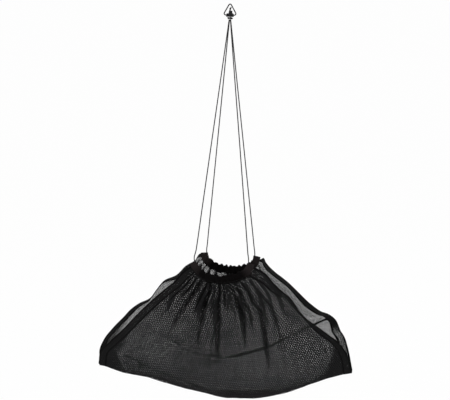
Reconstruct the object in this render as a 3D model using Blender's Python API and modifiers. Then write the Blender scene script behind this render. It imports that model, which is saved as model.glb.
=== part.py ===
"""Mesh weigh sling: a sheet of fine mesh gathered on two draw cords under a triangular hanging ring.

Units are metres, +Z is up, X runs along the sling's width and the front faces -Y. The origin is the point
inside the ring's top corner where the scale's hook bears, so the whole sling hangs below it.
"""
import math

import bmesh
import bpy
from mathutils import Vector
from mathutils.geometry import interpolate_bezier

# Clearance between pieces that touch
GAP = 0.0003

# Hanging ring: an equilateral triangle of round wire, point up
WIRE = 0.0032
RING_SIDE = 0.0385
RING_BEND = 0.004

# Draw cords
CORD = 0.003
STRAND_STEP = 0.030
CASING_STEP = 0.0065
CORD_BEND_LEAD = 0.018

# Hitch round the ring's bottom bar: two halves, each with a tail inside the ring
DRAWN_CORD = 0.0027
HITCH_TURNS = 2
HITCH_SPACE = 0.0007
TALL_TAIL = 0.0222
SHORT_TAIL = 0.0122
TALL_TAIL_LEAN = 0.0022
SHORT_TAIL_LEAN = 0.0021
TAIL_INWARD = 0.6

# Stopper knot under the hitch
KNOT_ACROSS = 0.0138
KNOT_RISE = 0.0019

# Routes of the draw cords, from the knot down, through the casing and up again
FRONT_CORD = (
    (-0.0017, -0.0017, -0.0398),
    (-0.0190, -0.0136, -0.1940),
    (-0.0397, -0.0278, -0.3760),
    (-0.0601, -0.0418, -0.5560),
    (-0.0742, -0.0514, -0.6800),
    (-0.0784, -0.0535, -0.7120),
    (-0.0695, -0.0555, -0.7255),
    (-0.0575, -0.0590, -0.7370),
    (-0.0410, -0.0635, -0.7475),
    (-0.0150, -0.0685, -0.7515),
    (0.0120, -0.0695, -0.7495),
    (0.0400, -0.0660, -0.7440),
    (0.0610, -0.0600, -0.7335),
    (0.0735, -0.0550, -0.7215),
    (0.0775, -0.0535, -0.7055),
    (0.0745, -0.0514, -0.6780),
    (0.0604, -0.0418, -0.5540),
    (0.0399, -0.0278, -0.3740),
    (0.0190, -0.0136, -0.1930),
    (0.0017, -0.0017, -0.0398),
)
BACK_CORD = (
    (-0.0017, 0.0017, -0.0398),
    (-0.0174, 0.0136, -0.1940),
    (-0.0363, 0.0278, -0.3770),
    (-0.0550, 0.0418, -0.5580),
    (-0.0680, 0.0514, -0.6840),
    (-0.0706, 0.0535, -0.7120),
    (-0.0680, 0.0550, -0.7290),
    (-0.0560, 0.0590, -0.7425),
    (-0.0360, 0.0640, -0.7530),
    (-0.0100, 0.0690, -0.7580),
    (0.0160, 0.0690, -0.7565),
    (0.0420, 0.0645, -0.7490),
    (0.0590, 0.0590, -0.7400),
    (0.0690, 0.0550, -0.7275),
    (0.0724, 0.0535, -0.7110),
    (0.0698, 0.0514, -0.6830),
    (0.0565, 0.0418, -0.5570),
    (0.0373, 0.0278, -0.3765),
    (0.0179, 0.0136, -0.1940),
    (0.0017, 0.0017, -0.0398),
)
# The casing takes the cord in after this many of the route's stretches, counted from either end
CASING_AFTER = 5.5

# Casings: the top hems, folded over their cord and gathered on it
CASING_TALL = 0.024
CASING_SKIN = 0.0012
CASING_ROOM = 0.0011
CASING_FOOT = 0.0012
CASING_TILT = 0.12
RUFFLE_COUNT = 11
RUFFLE_DEEP = 0.0014

# Mesh sheet and its side hems
SHEET = 0.0008
HEM_WIDE = 0.024
HEM_THICK = 0.0018
GATHER_FOLDS = 9
GATHER_DEEP = 0.0115
GATHER_END = 0.72
GATHER_START = 0.06
FOLD_EDGE = 0.1
FOLD_WANDER = 0.18
BELLY_FOLD = 0.026
CORNER_FOLD = 0.0055

# The panels' share of height that gives way when the mouth opens
FREE_SHARE = 0.42

# The share of height over which a panel turns from its casing's direction into its own
LEAVE_SHARE = 0.16

# The share of height over which a panel comes upright above the bottom fold
ARRIVE_SHARE = 0.12

# Side edges of the panels below the casings
FRONT_LEFT_EDGE = (
    (-0.1285, -0.0530, -0.7700),
    (-0.1703, -0.0510, -0.8070),
    (-0.2378, -0.0460, -0.8740),
    (-0.3015, -0.0360, -0.9450),
    (-0.3480, -0.0220, -0.9930),
    (-0.3770, -0.0110, -1.0260),
)
FRONT_RIGHT_EDGE = (
    (0.1285, -0.0540, -0.7530),
    (0.1700, -0.0520, -0.7840),
    (0.2323, -0.0440, -0.8430),
    (0.2900, -0.0290, -0.8940),
    (0.3370, -0.0150, -0.9340),
    (0.3600, -0.0090, -0.9720),
)
BACK_LEFT_EDGE = (
    (-0.1352, 0.0550, -0.7640),
    (-0.2028, 0.0570, -0.8180),
    (-0.2453, 0.0560, -0.8640),
    (-0.3052, 0.0500, -0.9110),
    (-0.3560, 0.0360, -0.9680),
    (-0.3840, 0.0180, -1.0220),
)
BACK_RIGHT_EDGE = (
    (0.1200, 0.0540, -0.7450),
    (0.1927, 0.0540, -0.8040),
    (0.2580, 0.0470, -0.8560),
    (0.3040, 0.0350, -0.8740),
    (0.3380, 0.0200, -0.9060),
    (0.3620, 0.0100, -0.9560),
)

# Lowest line of the sheet, from the left corner to the right one
BOTTOM_FOLD = (
    (-0.3840, 0.0, -1.0680),
    (-0.3260, 0.0, -1.0830),
    (-0.2190, 0.0, -1.0960),
    (-0.1020, 0.0, -1.1180),
    (0.0250, 0.0, -1.1310),
    (0.1440, 0.0, -1.1120),
    (0.2250, 0.0, -1.0800),
    (0.3100, 0.0, -1.0400),
    (0.3720, 0.0, -1.0170),
)

# Facets
RING_FACETS = 14
BEND_FACETS = 8
TURN_FACETS = 12
TAIL_STEPS = 6
KNOT_POINTS = 54
CORD_FACETS = 8
SHEET_COLUMNS = 54
HEM_COLUMNS = 6
FREE_ROWS = 8
HELD_ROWS = 5
GUTTER_ROWS = 4
CASING_STATIONS = 44
CASING_ARC = 6

FRONT = -1
BACK = 1


def remove_everything():
    """Clear the scene, so that the script can be run again."""
    for item in list(bpy.data.objects):
        bpy.data.objects.remove(item, do_unlink=True)
    for group in list(bpy.data.collections):
        bpy.data.collections.remove(group)


def make_material(name, colour, roughness, metallic=0.0):
    """A plain Principled material."""
    material = bpy.data.materials.new(name)
    material.use_nodes = True
    shader = material.node_tree.nodes["Principled BSDF"]
    shader.inputs["Base Color"].default_value = (*colour, 1.0)
    shader.inputs["Roughness"].default_value = roughness
    shader.inputs["Metallic"].default_value = metallic
    return material


def add_object(name, data, group, material, parent=None):
    """Put one named piece into the sling's collection."""
    item = bpy.data.objects.new(name, data)
    data.materials.append(material)
    group.objects.link(item)
    item.parent = parent
    if parent is not None:
        item.matrix_parent_inverse = parent.matrix_world.inverted()
    return item


def add_pivot(name, place, group):
    """An empty on a joint's axis, which carries the pieces that turn about it."""
    pivot = bpy.data.objects.new(name, None)
    pivot.location = place
    pivot.empty_display_size = 0.02
    group.objects.link(pivot)
    bpy.context.view_layer.update()
    return pivot


class Path:
    """A smooth curve through a route's own points, read by its length."""

    SAMPLES = 24

    def __init__(self, points):
        knots = [Vector(point) for point in points]
        slopes = self.slopes(knots)
        self.points = [knots[0]]
        self.marks = [0]
        for index in range(len(knots) - 1):
            reach = (knots[index + 1] - knots[index]).length / 3
            near = knots[index] + slopes[index] * reach
            far = knots[index + 1] - slopes[index + 1] * reach
            stretch = interpolate_bezier(knots[index], near, far, knots[index + 1], self.SAMPLES)
            self.points.extend(stretch[1:])
            self.marks.append(len(self.points) - 1)
        self.run = [0.0]
        for before, after in zip(self.points, self.points[1:]):
            self.run.append(self.run[-1] + (after - before).length)
        self.length = self.run[-1]

    @staticmethod
    def slopes(knots):
        """Direction of the curve at each of the route's points."""
        result = []
        for index, knot in enumerate(knots):
            if index == 0:
                result.append((knots[1] - knot).normalized())
            elif index == len(knots) - 1:
                result.append((knot - knots[-2]).normalized())
            else:
                before = knot - knots[index - 1]
                after = knots[index + 1] - knot
                blend = before / before.length_squared + after / after.length_squared
                result.append(blend.normalized())
        return result

    def at(self, distance):
        """Point at a distance along the curve."""
        distance = min(max(distance, 0.0), self.length)
        low, high = 0, len(self.run) - 1
        while high - low > 1:
            middle = (low + high) // 2
            if self.run[middle] <= distance:
                low = middle
            else:
                high = middle
        span = self.run[high] - self.run[low]
        share = (distance - self.run[low]) / span if span else 0.0
        return self.points[low].lerp(self.points[high], share)

    def share(self, part):
        """Point at a share of the curve's length, 0 to 1."""
        return self.at(part * self.length)

    def heading(self, distance):
        """Direction of travel at a distance along the curve."""
        reach = self.length * 0.004
        return (self.at(distance + reach) - self.at(distance - reach)).normalized()

    def mark_distance(self, mark):
        """Distance at a place counted in the route's own stretches, such as 4.5."""
        low = int(mark)
        start = self.run[self.marks[low]]
        end = self.run[self.marks[min(low + 1, len(self.marks) - 1)]]
        return start + (end - start) * (mark - low)

    def evenly(self, first, last, step):
        """Points about a step apart from one distance to another, without the last."""
        count = max(1, round((last - first) / step))
        return [self.at(first + (last - first) * index / count) for index in range(count)]


def smooth_step(value):
    """0 to 1 with level ends."""
    value = min(max(value, 0.0), 1.0)
    return value * value * (3 - 2 * value)


def tube_data(name, points, diameter, facets, closed=False):
    """A round tube along points, as a curve with filled caps."""
    data = bpy.data.curves.new(name, "CURVE")
    data.dimensions = "3D"
    data.bevel_depth = diameter / 2
    data.bevel_resolution = round(facets / 2) - 2
    data.use_fill_caps = not closed
    spline = data.splines.new("POLY")
    spline.points.add(len(points) - 1)
    for slot, point in zip(spline.points, points):
        slot.co = (*point, 1.0)
    spline.use_cyclic_u = closed
    return data


def sheet_data(name, rows, closed_rows=False):
    """An open surface from rows of points."""
    mesh = bpy.data.meshes.new(name)
    shape = bmesh.new()
    grid = [[shape.verts.new(point) for point in row] for row in rows]
    row_pairs = list(zip(grid, grid[1:]))
    if closed_rows:
        row_pairs.append((grid[-1], grid[0]))
    for row, following in row_pairs:
        for index in range(len(row) - 1):
            shape.faces.new((row[index], row[index + 1], following[index + 1], following[index]))
    bmesh.ops.recalc_face_normals(shape, faces=shape.faces)
    shape.to_mesh(mesh)
    shape.free()
    mesh.shade_smooth()
    return mesh


def add_wall(item, thickness, offset=0.0):
    """Give an open surface its wall."""
    wall = item.modifiers.new("wall", "SOLIDIFY")
    wall.thickness = thickness
    wall.offset = offset
    wall.use_even_offset = True
    wall.use_rim = True
    return wall


# Hanging ring


def ring_bar_height():
    """Height of the bottom bar's centre line."""
    point_up = RING_BEND * (1 / math.sin(math.radians(30)) - 1)
    return WIRE / 2 + point_up - RING_SIDE * math.sin(math.radians(60))


def ring_points():
    """Centre line of the ring: three straight sides and three bends."""
    bar = ring_bar_height()
    top = bar + RING_SIDE * math.sin(math.radians(60))
    corners = (
        (Vector((0.0, 0.0, top)), 150),
        (Vector((-RING_SIDE / 2, 0.0, bar)), 270),
        (Vector((RING_SIDE / 2, 0.0, bar)), 30),
    )
    centre = Vector((0.0, 0.0, bar + RING_SIDE / 2 * math.tan(math.radians(30))))
    points = []
    for corner, last_angle in corners:
        inward = (centre - corner).normalized()
        middle = corner + inward * RING_BEND / math.sin(math.radians(30))
        for index in range(BEND_FACETS + 1):
            angle = math.radians(last_angle - 120 + 120 * index / BEND_FACETS)
            spoke = Vector((math.cos(angle), 0.0, math.sin(angle)))
            points.append(middle + spoke * RING_BEND)
    return points


def build_ring(group, material):
    """The welded wire triangle that hangs on the hook."""
    data = tube_data("hanging_ring", ring_points(), WIRE, RING_FACETS, closed=True)
    return add_object("hanging_ring", data, group, material)


# Hitch and knot


def hitch_radius():
    """Centre line radius of the cord's turns round the bar."""
    return WIRE / 2 + GAP + DRAWN_CORD / 2


def hitch_points(side, tail, lean):
    """One half of the hitch: its tail down, turns outwards along the bar, and its end down to the knot."""
    bar = ring_bar_height()
    radius = hitch_radius()
    pitch = DRAWN_CORD + HITCH_SPACE
    points = []
    for index in range(TAIL_STEPS + 1):
        share = 1 - index / TAIL_STEPS
        over = smooth_step((tail * share - radius - DRAWN_CORD) / (tail - radius - DRAWN_CORD))
        points.append(Vector((
            side * pitch / 2 + lean * over,
            side * radius * (1 - TAIL_INWARD * over),
            bar + tail * share,
        )))
    for index in range(1, HITCH_TURNS * TURN_FACETS + 1):
        turn = index / TURN_FACETS
        angle = 2 * math.pi * turn
        points.append(Vector((
            side * (pitch / 2 + pitch * turn),
            side * radius * math.cos(angle),
            bar - radius * math.sin(angle),
        )))
    end = points[-1] - Vector((0.0, 0.0, radius + DRAWN_CORD / 2))
    points.append(points[-1].lerp(end, 0.5))
    points.append(end)
    return points


def least_gap(points, diameter, skip):
    """Least gap of a tube to itself, measured between points further apart than skip along it."""
    run = [0.0]
    for before, after in zip(points, points[1:]):
        run.append(run[-1] + (after - before).length)
    least = float("inf")
    for index, point in enumerate(points):
        for other in range(index + 1, len(points)):
            apart = run[other] - run[index]
            if skip < apart < run[-1] - skip:
                least = min(least, (points[other] - point).length - diameter)
    return least


def build_hitch(name, points, group, material, pivot):
    """One half of the hitch, as one unbroken tube."""
    gap = least_gap(points, DRAWN_CORD, DRAWN_CORD * 2.4)
    print(f"{name}: least gap to itself {gap * 1000:.2f} mm")
    data = tube_data(name, points, DRAWN_CORD, CORD_FACETS)
    return add_object(name, data, group, material, pivot)


def knot_top():
    """Height of the stopper knot's upper side."""
    return ring_bar_height() - hitch_radius() - DRAWN_CORD / 2 - GAP


def knot_points():
    """A flat overhand knot, as the closed curve that such a knot follows."""
    lobe = (KNOT_ACROSS - DRAWN_CORD) / 2 / 3
    middle = knot_top() - DRAWN_CORD / 2 - KNOT_RISE
    points = []
    for index in range(KNOT_POINTS):
        turn = 2 * math.pi * index / KNOT_POINTS
        reach = lobe * (2 + math.cos(3 * turn))
        points.append(Vector((
            reach * math.cos(2 * turn),
            reach * math.sin(2 * turn),
            middle + KNOT_RISE * math.sin(3 * turn),
        )))
    return points


def knot_bottom():
    """Height of the stopper knot's lower side, where the loops hang and turn."""
    return knot_top() - DRAWN_CORD - 2 * KNOT_RISE


def build_knot(group, material, pivot):
    """The overhand knot that gathers the four strands."""
    points = knot_points()
    data = tube_data("stopper_knot", points, DRAWN_CORD, CORD_FACETS, closed=True)
    print(f"stopper_knot: least gap to itself {least_gap(points, DRAWN_CORD, DRAWN_CORD * 2) * 1000:.2f} mm")
    return add_object("stopper_knot", data, group, material, pivot)


# Draw cords


def build_cord(name, route, group, material, pivot):
    """One draw cord, whole: strand, stretch in the casing, strand."""
    path = Path(route)
    entry = path.mark_distance(CASING_AFTER) - CORD_BEND_LEAD
    leave = path.mark_distance(len(route) - 1 - CASING_AFTER) + CORD_BEND_LEAD
    points = path.evenly(0.0, entry, STRAND_STEP)
    points += path.evenly(entry, leave, CASING_STEP)
    points += path.evenly(leave, path.length, STRAND_STEP)
    points.append(path.at(path.length))
    print(f"{name}: {path.length:.3f} m, {len(points)} points")
    data = tube_data(name, points, CORD, CORD_FACETS)
    return add_object(name, data, group, material, pivot)


# Casings


class Casing:
    """A top hem: a narrow fabric tube round the cord, its two layers sewn together under it."""

    def __init__(self, route, side):
        self.side = side
        self.path = Path(route)
        self.start = self.path.mark_distance(CASING_AFTER)
        self.end = self.path.mark_distance(len(route) - 1 - CASING_AFTER)

    def frame(self, share):
        """Place on the cord, direction down the hem, and direction outwards, at a share of its length."""
        distance = self.start + (self.end - self.start) * share
        place = self.path.at(distance)
        along = self.path.heading(distance)
        outward = Vector((0.0, self.side, 0.0))
        down = along.cross(outward) * self.side
        if down.z > 0:
            down = -down
        down = (down + Vector((0.0, -self.side * CASING_TILT, 0.0))).normalized()
        outward = along.cross(down)
        if outward.y * self.side < 0:
            outward = -outward
        return place, down, outward.normalized()

    def ruffle(self, share):
        """Sideways place of the gathered hem, level at both ends."""
        level = math.sin(math.pi * share) ** 0.5 if 0 < share < 1 else 0.0
        return RUFFLE_DEEP * level * math.sin(2 * math.pi * RUFFLE_COUNT * share)

    def outline(self, share):
        """Inner outline of the hem's tunnel at a share of its length."""
        place, down, outward = self.frame(share)
        radius = CORD / 2 + CASING_ROOM
        low = CASING_TALL - 2 * CASING_SKIN - radius * 2
        shift = self.ruffle(share)
        points = []
        for index in range(CASING_ARC + 1):
            angle = math.pi * index / CASING_ARC
            side = outward * radius * math.cos(angle)
            rise = -down * radius * math.sin(angle)
            points.append(place + side + rise)
        middle = place + down * low * 0.5
        foot = place + down * low
        for sign, centre in ((-1, middle), (-1, foot), (1, foot), (1, middle)):
            wide = CASING_FOOT if centre is foot else (radius + CASING_FOOT) * 0.5
            points.append(centre + outward * (sign * wide + shift))
        return points

    def foot(self, share):
        """Middle of the hem's lower edge, where the sheet's panel hangs."""
        place, down, outward = self.frame(share)
        low = CASING_TALL - CASING_SKIN - (CORD + 2 * CASING_ROOM)
        return place + down * (low + 2 * GAP) + outward * self.ruffle(share)


def build_casing(name, casing, group, material, pivot):
    """One gathered top hem as a fabric tube with open ends."""
    rows = [casing.outline(index / CASING_STATIONS) for index in range(CASING_STATIONS + 1)]
    columns = [list(column) for column in zip(*rows)]
    mesh = sheet_data(name, columns, closed_rows=True)
    item = add_object(name, mesh, group, material, pivot)
    add_wall(item, CASING_SKIN, offset=1.0)
    return item


# Mesh sheet


class Gutter:
    """The soft fold along the sheet's bottom, round in the middle and tight at the corners."""

    def __init__(self):
        self.path = Path(BOTTOM_FOLD)

    def radius(self, share):
        """Radius of the fold at a share of the width."""
        return CORNER_FOLD + (BELLY_FOLD - CORNER_FOLD) * math.sin(math.pi * share) ** 0.8

    def point(self, share, turn):
        """Point round the fold: turn 0 is its front edge, 1 its back edge."""
        share = min(max(share, 0.0), 1.0)
        radius = self.radius(share)
        angle = math.pi * turn
        low = self.path.share(share)
        return low + Vector((0.0, -radius * math.cos(angle), radius * (1 - math.sin(angle))))


class Panel:
    """One hanging side of the sheet, between its casing, its two side edges and the bottom fold."""

    def __init__(self, casing, gutter, left_edge, right_edge):
        self.casing = casing
        self.gutter = gutter
        self.turn = 0.0 if casing.side == FRONT else 1.0
        self.left = Path((casing.foot(0.0), *left_edge, gutter.point(0.0, self.turn)))
        self.right = Path((casing.foot(1.0), *right_edge, gutter.point(1.0, self.turn)))

    def drop_point(self, across, down):
        """Point straight below the casing in the casing's own direction."""
        top = self.casing.foot(across)
        height = (self.gutter.point(across, self.turn) - top).length
        return top + self.casing.frame(across)[1] * height * down

    def flat_point(self, across, down):
        """Point of the panel without its folds, from its four edges."""
        top = self.casing.foot(across)
        bottom = self.gutter.point(across, self.turn)
        left = self.left.share(down)
        right = self.right.share(down)
        corner_top = self.casing.foot(0.0).lerp(self.casing.foot(1.0), across)
        corner_bottom = self.gutter.point(0.0, self.turn).lerp(self.gutter.point(1.0, self.turn), across)
        edges = top.lerp(bottom, down) + left.lerp(right, across)
        return edges - corner_top.lerp(corner_bottom, down)

    def width(self, down):
        """Straight width of the panel at a share of its height."""
        return (self.right.share(down) - self.left.share(down)).length

    def hem_share(self, down):
        """Share of the width that one side hem takes."""
        arc = (self.casing.end - self.casing.start) * (1 - down) + self.width(down) * down
        wide = max(arc, self.width(down))
        return HEM_WIDE / wide

    def fold(self, across, down):
        """Depth of the gather folds: deep under the casing, none further down or at the hems."""
        fade = 1 - smooth_step(down / GATHER_END)
        start = smooth_step(down / GATHER_START)
        hem = self.hem_share(down)
        edge = smooth_step((across - hem) / FOLD_EDGE) * smooth_step((1 - hem - across) / FOLD_EDGE)
        wander = FOLD_WANDER * math.sin(5 * math.pi * across + 0.7 * self.casing.side)
        return GATHER_DEEP * fade * start * edge * math.sin(2 * math.pi * (GATHER_FOLDS * across + wander))

    def point(self, across, down):
        """Point of the folded panel."""
        start = 1 - smooth_step(down / LEAVE_SHARE)
        place = self.flat_point(across, down).lerp(self.drop_point(across, down), start)
        arrive = smooth_step((down - 1 + ARRIVE_SHARE) / ARRIVE_SHARE)
        place.y += (self.gutter.point(across, self.turn).y - place.y) * arrive
        return place + Vector((0.0, self.casing.side * self.fold(across, down), 0.0))


def across_values(hem, count):
    """Shares of the width between the two side hems."""
    return [hem + (1 - 2 * hem) * index / count for index in range(count + 1)]


def panel_rows(panel, first, last, rows):
    """Rows of a panel's own cloth between its side hems."""
    result = []
    for row in range(rows + 1):
        down = first + (last - first) * row / rows
        inset = panel.hem_share(down) + GAP / panel.width(down)
        result.append([panel.point(across, down) for across in across_values(inset, SHEET_COLUMNS)])
    return result


def hem_rows(panel, first, last, rows, right):
    """Rows of one side hem's run along a panel."""
    result = []
    for row in range(rows + 1):
        down = first + (last - first) * row / rows
        wide = panel.hem_share(down)
        shares = [wide * index / HEM_COLUMNS for index in range(HEM_COLUMNS + 1)]
        if right:
            shares = [1 - share for share in reversed(shares)]
        result.append([panel.point(share, down) for share in shares])
    return result


def gutter_rows(gutter, panel, rows):
    """Rows of the bottom fold between the side hems."""
    inset = panel.hem_share(1.0) + GAP / panel.width(1.0)
    shares = across_values(inset, SHEET_COLUMNS)
    return [[gutter.point(share, row / rows) for share in shares] for row in range(rows + 1)]


def gutter_hem_rows(gutter, panel, rows, right):
    """Rows of one side hem round the bottom fold."""
    wide = panel.hem_share(1.0)
    shares = [wide * index / HEM_COLUMNS for index in range(HEM_COLUMNS + 1)]
    if right:
        shares = [1 - share for share in reversed(shares)]
    return [[gutter.point(share, row / rows) for share in shares] for row in range(rows + 1)]


def build_cloth(name, rows, thickness, group, material, pivot):
    """One stretch of cloth with its real thickness."""
    mesh = sheet_data(name, rows)
    item = add_object(name, mesh, group, material, pivot)
    add_wall(item, thickness)
    return item


def build_sling():
    """All pieces of the sling."""
    remove_everything()
    group = bpy.data.collections.new("mesh_weigh_sling")
    bpy.context.scene.collection.children.link(group)
    wire = make_material("ring_wire", (0.012, 0.012, 0.013), 0.38, 0.85)
    cord = make_material("cord", (0.010, 0.010, 0.011), 0.78)
    mesh = make_material("mesh", (0.012, 0.012, 0.013), 0.85)
    hem = make_material("hem", (0.010, 0.010, 0.011), 0.88)

    bar = Vector((0.0, 0.0, ring_bar_height()))
    knot = Vector((0.0, 0.0, knot_bottom()))
    sling = add_pivot("bar_pivot", bar, group)
    front_loop = add_pivot("front_loop_pivot", knot, group)
    back_loop = add_pivot("back_loop_pivot", knot, group)
    for loop in (front_loop, back_loop):
        loop.parent = sling
        loop.matrix_parent_inverse = sling.matrix_world.inverted()
    bpy.context.view_layer.update()

    build_ring(group, wire)
    build_hitch("hitch_left_turns", hitch_points(-1, TALL_TAIL, TALL_TAIL_LEAN), group, cord, sling)
    build_hitch("hitch_right_turns", hitch_points(1, SHORT_TAIL, SHORT_TAIL_LEAN), group, cord, sling)
    build_knot(group, cord, sling)
    build_cord("front_draw_cord", FRONT_CORD, group, cord, front_loop)
    build_cord("back_draw_cord", BACK_CORD, group, cord, back_loop)

    gutter = Gutter()
    sides = (
        ("front", FRONT_CORD, FRONT, FRONT_LEFT_EDGE, FRONT_RIGHT_EDGE, front_loop),
        ("back", BACK_CORD, BACK, BACK_LEFT_EDGE, BACK_RIGHT_EDGE, back_loop),
    )
    for word, route, side, left_edge, right_edge, loop in sides:
        casing = Casing(route, side)
        build_casing(f"{word}_casing", casing, group, hem, loop)
        panel = Panel(casing, gutter, left_edge, right_edge)
        seam = GAP / panel.left.length
        free = (0.0, FREE_SHARE - seam / 2)
        held = (FREE_SHARE + seam / 2, 1.0 - 2 * seam)
        build_cloth(f"{word}_panel_upper", panel_rows(panel, *free, FREE_ROWS), SHEET, group, mesh, sling)
        build_cloth(f"{word}_panel_lower", panel_rows(panel, *held, HELD_ROWS), SHEET, group, mesh, sling)
        for edge, right in (("left", False), ("right", True)):
            upper = hem_rows(panel, *free, FREE_ROWS, right)
            build_cloth(f"{word}_{edge}_hem_upper", upper, HEM_THICK, group, hem, sling)
            lower = hem_rows(panel, *held, HELD_ROWS, right)
            build_cloth(f"{word}_{edge}_hem_lower", lower, HEM_THICK, group, hem, sling)
    build_cloth("bottom_fold", gutter_rows(gutter, panel, GUTTER_ROWS), SHEET, group, mesh, sling)
    for edge, right in (("left", False), ("right", True)):
        rows = gutter_hem_rows(gutter, panel, GUTTER_ROWS, right)
        build_cloth(f"{edge}_corner_hem", rows, HEM_THICK, group, hem, sling)


build_sling()
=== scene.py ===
"""Looks of the mesh weigh sling: its draw cords, gathered casings, hems and the mesh sheet between them.

Units are metres, +Z is up, X runs along the sling's width and the front faces -Y. The origin is the point
inside the ring's top corner where the scale's hook bears.
"""

import logging
import math
from dataclasses import dataclass
from enum import Enum

import bmesh
import bpy
import numpy as np
from mathutils import Matrix, Vector

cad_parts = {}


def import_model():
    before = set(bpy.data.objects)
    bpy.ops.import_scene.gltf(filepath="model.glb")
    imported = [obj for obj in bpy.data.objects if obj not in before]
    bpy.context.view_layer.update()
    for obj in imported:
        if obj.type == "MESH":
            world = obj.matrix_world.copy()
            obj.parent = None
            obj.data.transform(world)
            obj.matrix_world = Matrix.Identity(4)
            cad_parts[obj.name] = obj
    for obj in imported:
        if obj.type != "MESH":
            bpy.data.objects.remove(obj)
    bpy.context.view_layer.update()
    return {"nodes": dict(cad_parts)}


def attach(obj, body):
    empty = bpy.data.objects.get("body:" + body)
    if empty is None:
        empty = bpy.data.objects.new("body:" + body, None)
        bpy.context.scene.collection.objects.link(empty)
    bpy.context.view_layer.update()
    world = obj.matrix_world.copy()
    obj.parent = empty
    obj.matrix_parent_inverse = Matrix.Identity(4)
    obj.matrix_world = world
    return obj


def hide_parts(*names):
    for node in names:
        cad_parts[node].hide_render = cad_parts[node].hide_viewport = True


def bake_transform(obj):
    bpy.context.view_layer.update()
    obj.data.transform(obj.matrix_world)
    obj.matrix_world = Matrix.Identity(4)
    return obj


LOG = logging.getLogger("mesh_weigh_sling")

# Sizes that the pieces share
GAP = 0.0003
WIRE = 0.0032
RING_SIDE = 0.0385
RING_BEND = 0.004
CORD = 0.003
DRAWN_CORD = 0.0027
CASING_TALL = 0.024
CASING_SKIN = 0.0012
CASING_ROOM = 0.0011
HEM_WIDE = 0.024
CLOTH_WIDE = 0.80
HALF_TALL = 0.425
STITCH_LIFT = 0.0001
WHITE = (1.0, 1.0, 1.0, 1.0)

# Routes of the cords and side edges of the cloth, as points in metres
FRONT_CORD = (
    (-0.0017, -0.0017, -0.0398),
    (-0.0190, -0.0136, -0.1940),
    (-0.0397, -0.0278, -0.3760),
    (-0.0601, -0.0418, -0.5560),
    (-0.0742, -0.0514, -0.6800),
    (-0.0784, -0.0535, -0.7120),
    (-0.0695, -0.0555, -0.7255),
    (-0.0575, -0.0590, -0.7370),
    (-0.0410, -0.0635, -0.7475),
    (-0.0150, -0.0685, -0.7515),
    (0.0120, -0.0695, -0.7495),
    (0.0400, -0.0660, -0.7440),
    (0.0610, -0.0600, -0.7335),
    (0.0735, -0.0550, -0.7215),
    (0.0775, -0.0535, -0.7055),
    (0.0745, -0.0514, -0.6780),
    (0.0604, -0.0418, -0.5540),
    (0.0399, -0.0278, -0.3740),
    (0.0190, -0.0136, -0.1930),
    (0.0017, -0.0017, -0.0398),
)
BACK_CORD = (
    (-0.0017, 0.0017, -0.0398),
    (-0.0174, 0.0136, -0.1940),
    (-0.0363, 0.0278, -0.3770),
    (-0.0550, 0.0418, -0.5580),
    (-0.0680, 0.0514, -0.6840),
    (-0.0706, 0.0535, -0.7120),
    (-0.0680, 0.0550, -0.7290),
    (-0.0560, 0.0590, -0.7425),
    (-0.0360, 0.0640, -0.7530),
    (-0.0100, 0.0690, -0.7580),
    (0.0160, 0.0690, -0.7565),
    (0.0420, 0.0645, -0.7490),
    (0.0590, 0.0590, -0.7400),
    (0.0690, 0.0550, -0.7275),
    (0.0724, 0.0535, -0.7110),
    (0.0698, 0.0514, -0.6830),
    (0.0565, 0.0418, -0.5570),
    (0.0373, 0.0278, -0.3765),
    (0.0179, 0.0136, -0.1940),
    (0.0017, 0.0017, -0.0398),
)
# The casing takes the cord in after this many of the route's stretches, counted from either end
CASING_AFTER = 5.5

FRONT_LEFT_EDGE = (
    (-0.1285, -0.0530, -0.7700),
    (-0.1703, -0.0510, -0.8070),
    (-0.2378, -0.0460, -0.8740),
    (-0.3015, -0.0360, -0.9450),
    (-0.3480, -0.0220, -0.9930),
    (-0.3770, -0.0110, -1.0260),
)
FRONT_RIGHT_EDGE = (
    (0.1115, -0.0540, -0.7270),
    (0.1360, -0.0535, -0.7420),
    (0.1690, -0.0525, -0.7720),
    (0.1960, -0.0500, -0.7900),
    (0.2360, -0.0440, -0.8400),
    (0.2940, -0.0290, -0.8900),
    (0.3440, -0.0150, -0.9340),
    (0.3640, -0.0090, -0.9720),
)
BACK_LEFT_EDGE = (
    (-0.1120, 0.0545, -0.7480),
    (-0.1400, 0.0550, -0.7670),
    (-0.1670, 0.0560, -0.7960),
    (-0.2080, 0.0570, -0.8190),
    (-0.2300, 0.0565, -0.8470),
    (-0.2500, 0.0555, -0.8750),
    (-0.2840, 0.0530, -0.8940),
    (-0.3100, 0.0500, -0.9150),
    (-0.3260, 0.0465, -0.9340),
    (-0.3600, 0.0360, -0.9720),
    (-0.3830, 0.0220, -1.0050),
    (-0.3910, 0.0140, -1.0310),
)
BACK_RIGHT_EDGE = (
    (0.0830, 0.0540, -0.7235),
    (0.0905, 0.0540, -0.7275),
    (0.0995, 0.0540, -0.7360),
    (0.1110, 0.0540, -0.7490),
    (0.1280, 0.0540, -0.7635),
    (0.1490, 0.0540, -0.7780),
    (0.1690, 0.0540, -0.7925),
    (0.1880, 0.0540, -0.8090),
    (0.2400, 0.0490, -0.8510),
    (0.2680, 0.0440, -0.8670),
    (0.2900, 0.0380, -0.8710),
    (0.3110, 0.0320, -0.8810),
    (0.3310, 0.0230, -0.9050),
    (0.3440, 0.0170, -0.9200),
    (0.3560, 0.0110, -0.9480),
)
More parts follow.
